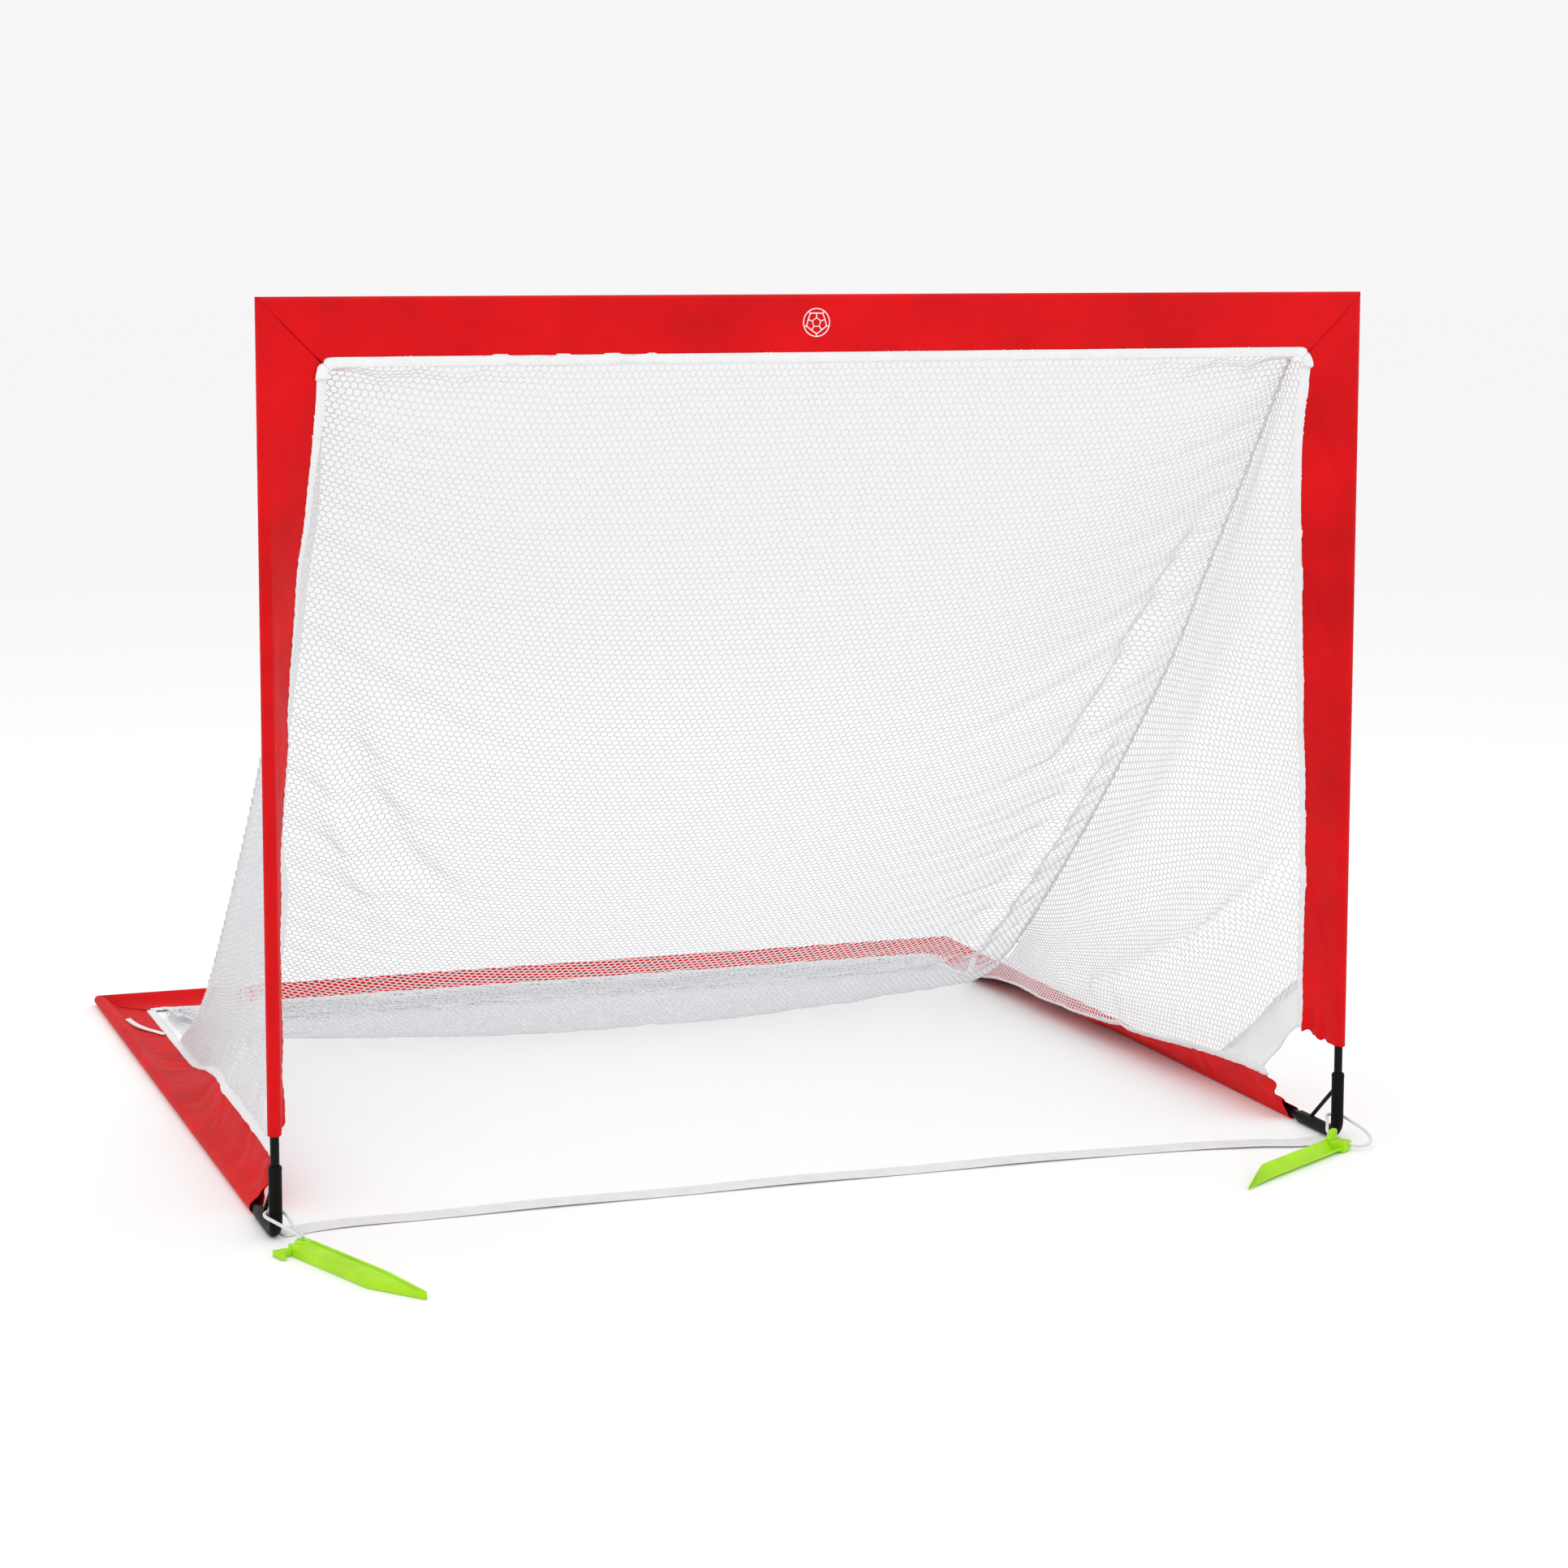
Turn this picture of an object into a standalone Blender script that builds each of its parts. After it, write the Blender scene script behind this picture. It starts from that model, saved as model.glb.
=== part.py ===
"""Pop up goal: a shock-corded pole frame in fabric sleeves, with a slack net bag, ground strap and two stakes.

Metres, +Z up. +X runs along the crossbar, +Y goes into the goal. The ground is z = 0. The pieces are laid out
from the middle of the goal line, and a parent empty then puts the origin under the middle of the whole goal.
"""

import math

import bmesh
import bpy
from mathutils import Matrix, Vector

# Driving dimensions of the frame, between pole axes
HALF_WIDTH = 0.610
TOP_AXIS_Z = 0.9522
REAR_AXIS_Y = 1.155
BASE_AXIS_Z = 0.0072

# Poles, ferrules and moulded elbows
POLE_RADIUS = 0.00475
POLE_BORE = 0.00275
SOCKET_BORE = 0.00508
FERRULE_RADIUS = 0.0060
FERRULE_LENGTH = 0.050
CORNER_RADIUS = 0.0061
CORNER_LEG = 0.045
FOOT_RADIUS = 0.0070
FOOT_HEIGHT = 0.078
FOOT_LENGTH = 0.086
FOOT_BEND = 0.016
POLE_STOP = 0.030
JOINT_GAP = 0.0003
BRACE_WIDTH = 0.0032
BRACE_DEPTH = 0.0045
BRACE_HIGH = 0.058
BRACE_BACK = 0.060
SHOCK_CORD_RADIUS = 0.00125
ROUND_SIDES = 12

# Fabric
SLEEVE_OUTER = 0.0072
SLEEVE_INNER = 0.0064
SLEEVE_FIN = 0.0012
SLEEVE_REACH = 0.0530
BINDING_WIDTH = 0.0100
BINDING_GAP = 0.0005
FABRIC_GAP = 0.0003
UPRIGHT_HEM_Z = 0.110
UPRIGHT_TWIST_TOP = 0.886
UPRIGHT_STATIONS = 14
BASE_HEM_Y = 0.104
BASE_FLAT_Y = 0.760
BASE_STATIONS = 13
NET_THICKNESS = 0.0016
NET_GAP = 0.0012
SEAM_GAP = 0.0040
SIDE_NET_FOOT_Y = 0.860
SIDE_NET_TRIM = 0.20

# Twist of the fabric fins about their poles, in degrees, as (distance along the pole, angle)
UPRIGHT_TWIST = ((0.110, 78.0), (0.400, 74.0), (0.540, 64.0), (0.680, 50.0), (0.780, 32.0), (0.840, 15.0),
                 (0.886, 0.0))
LEFT_BASE_TWIST = ((0.104, 74.0), (0.460, 62.0), (0.620, 30.0), (0.760, 0.0))
RIGHT_BASE_TWIST = ((0.104, 66.0), (0.280, 50.0), (0.440, 34.0), (0.600, 16.0), (0.760, 0.0))

# Net bag: its back slopes down to the ground line and lies slack from there to the rear sleeve
SEAM_PROFILE = ((0.022, 0.884), (0.070, 0.820), (0.134, 0.735), (0.222, 0.622), (0.292, 0.530), (0.460, 0.352),
                (0.643, 0.180), (0.780, 0.068), (0.900, 0.004))
CENTRE_SAG = 0.030
GROUND_LINE_Y = 0.955
SEAM_TOP_X = 0.5430
SEAM_FOOT_X = 0.5420

# Corner gussets, whose corners are at stations of the sleeves
GUSSET_HIGH_STATION = 1
GUSSET_FRONT_STATION = 1
GUSSET_BACK_STATION = 2
GUSSET_THICKNESS = 0.0010
ELASTIC_RADIUS = 0.0012

# Ground strap
STRAP_WIDTH = 0.030
STRAP_THICKNESS = 0.0016
STRAP_ROUTE = ((-0.6026, 0.020), (-0.540, 0.033), (-0.390, 0.035), (0.0, 0.036), (0.360, 0.030), (0.500, 0.012),
               (0.560, -0.003), (0.6026, 0.006))

# Stakes and their cords
STAKE_LENGTH = 0.215
STAKE_HALF_WIDTH = 0.0125
STAKE_HEIGHT = 0.012
STAKE_WALL = 0.0028
STAKE_BEVEL = 0.165
LEFT_STAKE_HEAD = (-0.5985, -0.0480)
LEFT_STAKE_HEADING = 20.0
RIGHT_STAKE_HEAD = (0.5945, -0.0370)
RIGHT_STAKE_HEADING = -59.0
STAKE_CORD_RADIUS = 0.00175
STAKE_TIE_Z = 0.0065
STAKE_TIE_RUN = 0.010
STAKE_TIE_SPREAD = 0.0045
LOOP_RADIUS = 0.0100
LOOP_Z = 0.027

# Webbing tabs on the rear corners
TAB_WIDTH = 0.009
TAB_THICKNESS = 0.0012

LEFT = -1
RIGHT = 1


# ---------------------------------------------------------------- scene and materials


def centre_of_goal():
    """The empty that every piece hangs on, which moves the origin from the goal line to the middle."""
    made = bpy.data.objects.new("goal", None)
    made.location = (0, -REAR_AXIS_Y / 2, 0)
    bpy.context.scene.collection.objects.link(made)
    for item in bpy.data.objects:
        if item != made:
            item.parent = made


def clear_scene():
    for item in list(bpy.data.objects):
        bpy.data.objects.remove(item)


def material(name, colour, roughness, metallic=0.0):
    made = bpy.data.materials.new(name)
    made.use_nodes = True
    shader = made.node_tree.nodes["Principled BSDF"]
    shader.inputs["Base Color"].default_value = (*colour, 1.0)
    shader.inputs["Roughness"].default_value = roughness
    shader.inputs["Metallic"].default_value = metallic
    made.diffuse_color = (*colour, 1.0)
    return made


def red_polyester():
    return material("red_polyester", (0.62, 0.012, 0.016), 0.55)


def white_binding():
    return material("white_binding", (0.86, 0.86, 0.86), 0.7)


def white_net():
    return material("white_net", (0.88, 0.89, 0.91), 0.65)


def white_webbing():
    return material("white_webbing", (0.87, 0.87, 0.88), 0.75)


def white_cord():
    return material("white_cord", (0.84, 0.84, 0.84), 0.7)


def black_plastic():
    return material("black_plastic", (0.012, 0.012, 0.013), 0.42)


def black_fibreglass():
    return material("black_fibreglass", (0.010, 0.010, 0.011), 0.3)


def zinc_steel():
    return material("zinc_steel", (0.55, 0.55, 0.56), 0.35, 1.0)


def lime_plastic():
    return material("lime_plastic", (0.40, 0.91, 0.02), 0.4)


# ---------------------------------------------------------------- mesh building


def finish(name, mesh, surface, smooth=True):
    """One object from a bmesh, with its faces turned out."""
    bmesh.ops.recalc_face_normals(mesh, faces=mesh.faces)
    data = bpy.data.meshes.new(name)
    mesh.to_mesh(data)
    mesh.free()
    if smooth:
        data.shade_smooth()
        data.set_sharp_from_angle(angle=math.radians(35))
    data.materials.append(surface)
    made = bpy.data.objects.new(name, data)
    bpy.context.scene.collection.objects.link(made)
    return made


def loft_into(mesh, rings, caps=True):
    """Joins closed rings of equal length with quads, and closes both ends."""
    rows = [[mesh.verts.new(point) for point in ring] for ring in rings]
    count = len(rows[0])
    for row, following in zip(rows, rows[1:]):
        for i in range(count):
            j = (i + 1) % count
            mesh.faces.new((row[i], row[j], following[j], following[i]))
    if caps:
        mesh.faces.new(rows[0])
        mesh.faces.new(rows[-1])
    return rows


def solid_loft(name, rings, surface, smooth=True):
    mesh = bmesh.new()
    loft_into(mesh, rings)
    return finish(name, mesh, surface, smooth)


def side_vectors(path, index, across):
    """Mitred frame of a path's point: the along direction and two vectors that span its cut."""
    before = (path[index] - path[index - 1]).normalized() if index else None
    after = (path[index + 1] - path[index]).normalized() if index + 1 < len(path) else None
    if before is None or after is None:
        along = before or after
        return across, along.cross(across).normalized()
    along = (before + after).normalized()
    stretch = 1.0 / max(0.3, along.dot(after))
    return across, along.cross(across).normalized() * stretch


def tube_rings(path, radius, across, sides=ROUND_SIDES):
    """Rings round a path that stays in the plane at right angles to across. A flat side faces down."""
    rings = []
    for index, point in enumerate(path):
        u, v = side_vectors(path, index, across)
        turns = [2 * math.pi * (k + 0.5) / sides for k in range(sides)]
        rings.append([point + radius * (math.cos(a) * u + math.sin(a) * v) for a in turns])
    return rings


def tube_into(mesh, path, outer, bore, across):
    """A hollow tube, open at both ends."""
    skin = loft_into(mesh, tube_rings(path, outer, across), caps=False)
    inside = loft_into(mesh, tube_rings(path, bore, across), caps=False)
    for end in (0, -1):
        for i in range(ROUND_SIDES):
            j = (i + 1) % ROUND_SIDES
            mesh.faces.new((skin[end][i], skin[end][j], inside[end][j], inside[end][i]))


def tube(name, path, outer, bore, across, surface):
    mesh = bmesh.new()
    tube_into(mesh, path, outer, bore, across)
    return finish(name, mesh, surface)


def cord(name, points, radius, surface, resolution=2):
    """A round cord on a poly spline with filled ends."""
    data = bpy.data.curves.new(name, "CURVE")
    data.dimensions = "3D"
    data.bevel_depth = radius
    data.bevel_resolution = resolution
    data.use_fill_caps = True
    spline = data.splines.new("POLY")
    spline.points.add(len(points) - 1)
    for slot, point in zip(spline.points, points):
        slot.co = (*point, 1.0)
    data.materials.append(surface)
    made = bpy.data.objects.new(name, data)
    bpy.context.scene.collection.objects.link(made)
    return made


def boolean(target, other, operation):
    cut = target.modifiers.new(operation.lower(), "BOOLEAN")
    cut.object = other
    cut.operation = operation
    cut.solver = "EXACT"
    other.hide_render = True
    other.display_type = "WIRE"


def place_origin(item, point):
    """Moves an object's origin to a point, leaving its shape where it is."""
    item.data.transform(Matrix.Translation(-Vector(point)))
    item.location = point


def interpolated(table, at):
    """Value of a table of (place, value) rows, eased between rows and held beyond its ends."""
    if at <= table[0][0]:
        return table[0][1]
    for (low, start), (high, end) in zip(table, table[1:]):
        if at <= high:
            return start + (end - start) * (at - low) / (high - low)
    return table[-1][1]


def smooth_curve(points, count):
    """Points read from a Catmull-Rom curve through the given ones."""
    points = [Vector(p) for p in points]
    padded = [2 * points[0] - points[1], *points, 2 * points[-1] - points[-2]]
    made = []
    for k in range(count):
        at = k * (len(points) - 1) / (count - 1)
        i = min(int(at), len(points) - 2)
        t = at - i
        a, b, c, d = padded[i:i + 4]
        made.append(0.5 * (2 * b + (c - a) * t + (2 * a - 5 * b + 4 * c - d) * t ** 2
                           + (3 * b - 3 * c + d - a) * t ** 3))
    return made


def steps(low, high, count):
    return [low + (high - low) * k / (count - 1) for k in range(count)]


# ---------------------------------------------------------------- sleeves and bindings


def keyhole(radius):
    """Round part of the sleeve's section as (inward, upward) points, from the fin's lower root anticlockwise."""
    first = -math.pi / 2
    second = -math.asin((SLEEVE_OUTER - SLEEVE_FIN) / SLEEVE_OUTER)
    sweep = 2 * math.pi - (second - first)
    angles = [first] + [second + sweep * k / (ROUND_SIDES - 1) for k in range(ROUND_SIDES - 1)]
    return [(radius * math.cos(a), radius * math.sin(a)) for a in angles]


class Run:
    """A straight pole run with the frame of its sleeve: inward and upward at each station, with mitred ends."""

    def __init__(self, start, end, inward, up, stations, twist=None, mitre_start=False, mitre_end=False):
        self.start = Vector(start)
        self.along = (Vector(end) - self.start).normalized()
        self.inward = Vector(inward)
        self.up = Vector(up)
        self.stations = stations
        self.twist = twist
        self.mitres = (mitre_start, mitre_end)

    def ring(self, index, section):
        """World points of a section of (inward, upward) points at a station."""
        place = self.stations[index]
        angle = math.radians(self.twist(place)) if self.twist else 0.0
        u = math.cos(angle) * self.inward + math.sin(angle) * self.up
        v = math.cos(angle) * self.up - math.sin(angle) * self.inward
        lean = 0
        if index == 0 and self.mitres[0]:
            lean = 1
        if index == len(self.stations) - 1 and self.mitres[1]:
            lean = -1
        centre = self.start + place * self.along
        return [centre + a * u + b * v + lean * a * self.along for a, b in section]


def sleeve(name, run, surface):
    """A round channel for the pole with a flat fin, as one open tube."""
    mesh = bmesh.new()
    outer, inner = keyhole(SLEEVE_OUTER), keyhole(SLEEVE_INNER)
    fin = [(SLEEVE_REACH, -SLEEVE_OUTER), (SLEEVE_REACH, SLEEVE_FIN - SLEEVE_OUTER)]
    rows = []
    for index in range(len(run.stations)):
        made = [[mesh.verts.new(p) for p in run.ring(index, part)] for part in (outer, inner, fin)]
        rows.append(made)
    for (o, n, f), (o2, n2, f2) in zip(rows, rows[1:]):
        for i in range(ROUND_SIDES):
            j = (i + 1) % ROUND_SIDES
            mesh.faces.new((n[i], n[j], n2[j], n2[i]))
            if i:
                mesh.faces.new((o[i], o[j], o2[j], o2[i]))
        mesh.faces.new((o[0], f[0], f2[0], o2[0]))
        mesh.faces.new((f[0], f[1], f2[1], f2[0]))
        mesh.faces.new((f[1], o[1], o2[1], f2[1]))
    for o, n, f in (rows[0], rows[-1]):
        for i in range(ROUND_SIDES):
            j = (i + 1) % ROUND_SIDES
            mesh.faces.new((o[i], o[j], n[j], n[i]))
        mesh.faces.new((o[0], f[0], f[1], o[1]))
    return finish(name, mesh, surface)


def binding(name, run, surface):
    """The white band sewn to the sleeve's inner edge."""
    near = SLEEVE_REACH + BINDING_GAP
    far = near + BINDING_WIDTH
    low, high = -SLEEVE_OUTER, SLEEVE_FIN - SLEEVE_OUTER
    section = [(near, low), (far, low), (far, high), (near, high)]
    rings = [run.ring(index, section) for index in range(len(run.stations))]
    return solid_loft(name, rings, surface, smooth=False)


def binding_edge(run, place):
    """Middle of the binding's free edge at a distance along the run."""
    angle = math.radians(run.twist(place)) if run.twist else 0.0
    u = math.cos(angle) * run.inward + math.sin(angle) * run.up
    v = math.cos(angle) * run.up - math.sin(angle) * run.inward
    reach = SLEEVE_REACH + BINDING_GAP + BINDING_WIDTH
    middle = SLEEVE_FIN / 2 - SLEEVE_OUTER
    return run.start + place * run.along + reach * u + middle * v


def upright_run(side):
    """From the ground up, so a station is a height. Its fin turns back into the goal towards the ground."""
    stations = steps(UPRIGHT_HEM_Z, UPRIGHT_TWIST_TOP, UPRIGHT_STATIONS) + [TOP_AXIS_Z - FABRIC_GAP]
    return Run((side * HALF_WIDTH, 0, 0), (side * HALF_WIDTH, 0, 1), (-side, 0, 0), (0, 1, 0), stations,
               twist=lambda z: interpolated(UPRIGHT_TWIST, z), mitre_end=True)


def crossbar_run():
    stations = steps(FABRIC_GAP, 2 * HALF_WIDTH - FABRIC_GAP, 3)
    return Run((-HALF_WIDTH, 0, TOP_AXIS_Z), (HALF_WIDTH, 0, TOP_AXIS_Z), (0, 0, -1), (0, 1, 0), stations,
               mitre_start=True, mitre_end=True)


def base_run(side):
    """From the front foot back, so a station is a distance into the goal."""
    table = LEFT_BASE_TWIST if side == LEFT else RIGHT_BASE_TWIST
    stations = steps(BASE_HEM_Y, BASE_FLAT_Y, BASE_STATIONS) + [REAR_AXIS_Y - FABRIC_GAP]
    start = (side * HALF_WIDTH, 0, BASE_AXIS_Z)
    return Run(start, (start[0], 1, start[2]), (-side, 0, 0), (0, 0, 1), stations,
               twist=lambda y: interpolated(table, y), mitre_end=True)


def rear_run():
    stations = steps(FABRIC_GAP, 2 * HALF_WIDTH - FABRIC_GAP, 3)
    return Run((-HALF_WIDTH, REAR_AXIS_Y, BASE_AXIS_Z), (HALF_WIDTH, REAR_AXIS_Y, BASE_AXIS_Z), (0, -1, 0),
               (0, 0, 1), stations, mitre_start=True, mitre_end=True)


# ---------------------------------------------------------------- poles, elbows and ferrules


def pole_run(names, ferrule_name, cord_name, start, end, across, looks):
    """Two tubular segments end to end with a ferrule over the joint and a shock cord through both."""
    start, end = Vector(start), Vector(end)
    along = (end - start).normalized()
    middle = (start + end) / 2
    half_gap = JOINT_GAP * along
    tube(names[0], [start, middle - half_gap], POLE_RADIUS, POLE_BORE, across, looks["fibreglass"])
    tube(names[1], [middle + half_gap, end], POLE_RADIUS, POLE_BORE, across, looks["fibreglass"])
    reach = FERRULE_LENGTH / 2 * along
    tube(ferrule_name, [middle - reach, middle + reach], FERRULE_RADIUS, SOCKET_BORE, across, looks["steel"])
    cord(cord_name, [start + 0.004 * along, middle, end - 0.004 * along], SHOCK_CORD_RADIUS, looks["cord"])


def corner(name, at, first, second, across, surface):
    """A moulded corner with a socket along each of two directions."""
    at = Vector(at)
    path = [at + CORNER_LEG * Vector(first), at, at + CORNER_LEG * Vector(second)]
    return tube(name, path, CORNER_RADIUS, SOCKET_BORE, across, surface)


def front_foot(name, side, surface):
    """A moulded foot: a tall socket for the upright, a rounded bend, a socket for the base pole and a brace."""
    x = side * HALF_WIDTH
    bend_y, bend_z = FOOT_BEND, BASE_AXIS_Z + FOOT_BEND
    turns = [math.pi / 2 * k / 6 for k in range(7)]
    arc = [Vector((x, bend_y - FOOT_BEND * math.cos(a), bend_z - FOOT_BEND * math.sin(a))) for a in turns]
    path = [Vector((x, 0, FOOT_HEIGHT)), *arc, Vector((x, FOOT_LENGTH, BASE_AXIS_Z))]
    foot = tube(name, path, FOOT_RADIUS, SOCKET_BORE, Vector((1, 0, 0)), surface)
    wall = (FOOT_RADIUS + SOCKET_BORE) / 2
    high = Vector((x, wall, BRACE_HIGH))
    back = Vector((x, BRACE_BACK, BASE_AXIS_Z + wall))
    run = (back - high).normalized()
    across = BRACE_WIDTH / 2 * Vector((1, 0, 0))
    depth = BRACE_DEPTH / 2 * run.cross(Vector((1, 0, 0)))
    upright_cut = depth.z - run.z * depth.y / run.y
    level_cut = depth.y - run.y * depth.z / run.z
    ends = []
    for base, shift in ((high, Vector((0, 0, upright_cut))), (back, Vector((0, level_cut, 0)))):
        ends.append([base + across + shift, base - across + shift, base - across - shift, base + across - shift])
    brace = solid_loft(name + "_brace_shape", ends, surface, smooth=False)
    boolean(foot, brace, "UNION")
    return foot


def frame_of_poles(looks):
    for side, word in ((LEFT, "left"), (RIGHT, "right")):
        x = side * HALF_WIDTH
        front_foot(f"{word}_front_foot", side, looks["plastic"])
        corner(f"{word}_top_corner", (x, 0, TOP_AXIS_Z), (0, 0, -1), (-side, 0, 0), Vector((0, 1, 0)),
               looks["plastic"])
        corner(f"{word}_rear_corner", (x, REAR_AXIS_Y, BASE_AXIS_Z), (0, -1, 0), (-side, 0, 0),
               Vector((0, 0, 1)), looks["plastic"])
        pole_run([f"{word}_upright_lower_pole", f"{word}_upright_upper_pole"], f"{word}_upright_ferrule",
                 f"{word}_upright_shock_cord", (x, 0, POLE_STOP), (x, 0, TOP_AXIS_Z - 0.009),
                 Vector((1, 0, 0)), looks)
        pole_run([f"{word}_base_front_pole", f"{word}_base_rear_pole"], f"{word}_base_ferrule",
                 f"{word}_base_shock_cord", (x, POLE_STOP, BASE_AXIS_Z), (x, REAR_AXIS_Y - 0.009, BASE_AXIS_Z),
                 Vector((1, 0, 0)), looks)
    inner = HALF_WIDTH - 0.009
    pole_run(["crossbar_left_pole", "crossbar_right_pole"], "crossbar_ferrule", "crossbar_shock_cord",
             (-inner, 0, TOP_AXIS_Z), (inner, 0, TOP_AXIS_Z), Vector((0, 1, 0)), looks)
    pole_run(["rear_left_pole", "rear_right_pole"], "rear_ferrule", "rear_shock_cord",
             (-inner, REAR_AXIS_Y, BASE_AXIS_Z), (inner, REAR_AXIS_Y, BASE_AXIS_Z), Vector((0, 0, 1)), looks)


def fabric_covers(looks):
    runs = {"crossbar": crossbar_run(), "left_upright": upright_run(LEFT), "right_upright": upright_run(RIGHT),
            "left_base": base_run(LEFT), "right_base": base_run(RIGHT), "rear_base": rear_run()}
    for word, run in runs.items():
        sleeve(f"{word}_sleeve", run, looks["red"])
        binding(f"{word}_binding", run, looks["binding"])


# ---------------------------------------------------------------- net bag, gussets and tabs


def sheet(name, grid, thickness, surface):
    """A closed sheet from a grid of points, half its thickness to each side."""
    rows, columns = len(grid), len(grid[0])
    faces = {1: [], -1: []}
    mesh = bmesh.new()
    for sign in (1, -1):
        for i in range(rows):
            line = []
            for j in range(columns):
                down = grid[min(i + 1, rows - 1)][j] - grid[max(i - 1, 0)][j]
                over = grid[i][min(j + 1, columns - 1)] - grid[i][max(j - 1, 0)]
                line.append(mesh.verts.new(grid[i][j] + sign * thickness / 2 * over.cross(down).normalized()))
            faces[sign].append(line)
        for i in range(rows - 1):
            for j in range(columns - 1):
                part = faces[sign]
                mesh.faces.new((part[i][j], part[i][j + 1], part[i + 1][j + 1], part[i + 1][j]))
    edge = [(0, j) for j in range(columns)] + [(i, columns - 1) for i in range(1, rows)]
    edge += [(rows - 1, j) for j in range(columns - 2, -1, -1)] + [(i, 0) for i in range(rows - 2, 0, -1)]
    for (a, b), (c, d) in zip(edge, edge[1:] + edge[:1]):
        mesh.faces.new((faces[1][a][b], faces[1][c][d], faces[-1][c][d], faces[-1][a][b]))
    return finish(name, mesh, surface)


def seam(side, count):
    """Where the back and side nets meet, down from the crossbar to the ground."""
    top, foot = SEAM_TOP_X, SEAM_FOOT_X
    last = len(SEAM_PROFILE) - 1
    points = [(side * (top + (foot - top) * k / last), y, z) for k, (y, z) in enumerate(SEAM_PROFILE)]
    return smooth_curve(points, count)


def back_net(surface):
    """Slopes from the crossbar to the ground line, then lies on the ground to the rear binding."""
    floor = NET_THICKNESS / 2 + 0.0002
    rear_edge = REAR_AXIS_Y - SLEEVE_REACH - BINDING_WIDTH - BINDING_GAP - NET_GAP
    top = TOP_AXIS_Z - SLEEVE_REACH - BINDING_WIDTH - BINDING_GAP - NET_GAP
    edges = []
    for side in (LEFT, RIGHT):
        edge = [Vector((side * SEAM_TOP_X, SLEEVE_FIN / 2 - SLEEVE_OUTER, top)), *seam(side, UPRIGHT_STATIONS - 1)]
        edge += [Vector((side * SEAM_FOOT_X, y, floor)) for y in (GROUND_LINE_Y, rear_edge)]
        edges.append(edge)
    grid = []
    for index, (left, right) in enumerate(zip(*edges)):
        depth = CENTRE_SAG * math.sin(math.pi * min(1.0, index / (UPRIGHT_STATIONS - 1)))
        line = [left.lerp(right, share) - Vector((0, 0, depth * math.sin(math.pi * share)))
                for share in steps(0.0, 1.0, 7)]
        grid.append([Vector((p.x, p.y, max(floor, p.z))) for p in line])
    return sheet("back_net", grid, NET_THICKNESS, surface)


def upright_points(side):
    """Points just inside the upright binding's free edge at its stations, from the ground up."""
    run = upright_run(side)
    return [binding_edge(run, z) + Vector((0, NET_GAP, 0)) for z in run.stations[:-1]]


def hem_points(side):
    """Points just inside the base binding's free edge at its stations, from the front back."""
    run = base_run(side)
    places = run.stations[:-1] + [SIDE_NET_FOOT_Y]
    return [binding_edge(run, y) + NET_GAP * run.inward + Vector((0, 0, NET_GAP)) for y in places]


def side_net(name, side, surface):
    """Between the upright's binding, the gusset, the base's binding and the seam with the back net."""
    front = upright_points(side)[:GUSSET_HIGH_STATION - 1:-1]
    hem = [front[-1]] + hem_points(side)[GUSSET_BACK_STATION:]
    last = len(front) - 1
    back = [point - Vector((0, SEAM_GAP, 0)) for point in seam(side, last + 1)]
    back[-1] = hem[-1]
    front[0] = front[0].lerp(front[1], SIDE_NET_TRIM)
    back[0] = back[0].lerp(back[1], SIDE_NET_TRIM)
    shares = steps(0.0, 1.0, len(hem))
    grid = []
    for row, (a, b) in enumerate(zip(front, back)):
        pull = (row / last) ** 2
        grid.append([a.lerp(b, share) + pull * (foot - front[-1].lerp(back[-1], share))
                     for share, foot in zip(shares, hem)])
    return sheet(name, grid, NET_THICKNESS, surface)


def gusset(word, side, looks):
    """Plain white corner patch with an elastic along its free diagonal edge."""
    upright, hem = upright_points(side), hem_points(side)
    low, high = upright[GUSSET_HIGH_STATION - 1], upright[GUSSET_HIGH_STATION]
    front, back = hem[GUSSET_FRONT_STATION], hem[GUSSET_BACK_STATION]
    grid = []
    for share in steps(0.0, 1.0, 3):
        top, bottom = high.lerp(back, share), low.lerp(front, share)
        grid.append([top.lerp(bottom, part) for part in (0.05, 0.5, 0.95)])
    sheet(f"{word}_gusset", grid, GUSSET_THICKNESS, looks["webbing"])
    away = (front + low - high - back).normalized() * (ELASTIC_RADIUS + FABRIC_GAP)
    ends = [low.lerp(front, share) + away for share in (0.03, 0.5, 0.97)]
    cord(f"{word}_gusset_elastic", ends, ELASTIC_RADIUS, looks["cord"])


def rear_tab(name, side, surface):
    """A short webbing tab on the sleeve near the rear corner, with its loose end raised."""
    route = ((0.566, 0.962, 0.0026), (0.575, 0.979, 0.0030), (0.586, 1.000, 0.0044), (0.594, 1.014, 0.0080))
    points = [Vector((side * x, y, z)) for x, y, z in route]
    rings = []
    for index, point in enumerate(points):
        along = (points[min(index + 1, 3)] - points[max(index - 1, 0)]).normalized()
        over = along.cross(Vector((0, 0, 1))).normalized() * TAB_WIDTH / 2
        up = over.cross(along).normalized() * TAB_THICKNESS / 2
        rings.append([point + over + up, point - over + up, point - over - up, point + over - up])
    return solid_loft(name, rings, surface, smooth=False)


def net_bag(looks):
    back_net(looks["net"])
    for side, word in ((LEFT, "left"), (RIGHT, "right")):
        side_net(f"{word}_side_net", side, looks["net"])
        gusset(word, side, looks)
        rear_tab(f"{word}_rear_tab", side, looks["webbing"])


# ---------------------------------------------------------------- strap, stakes and stake cords


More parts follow.
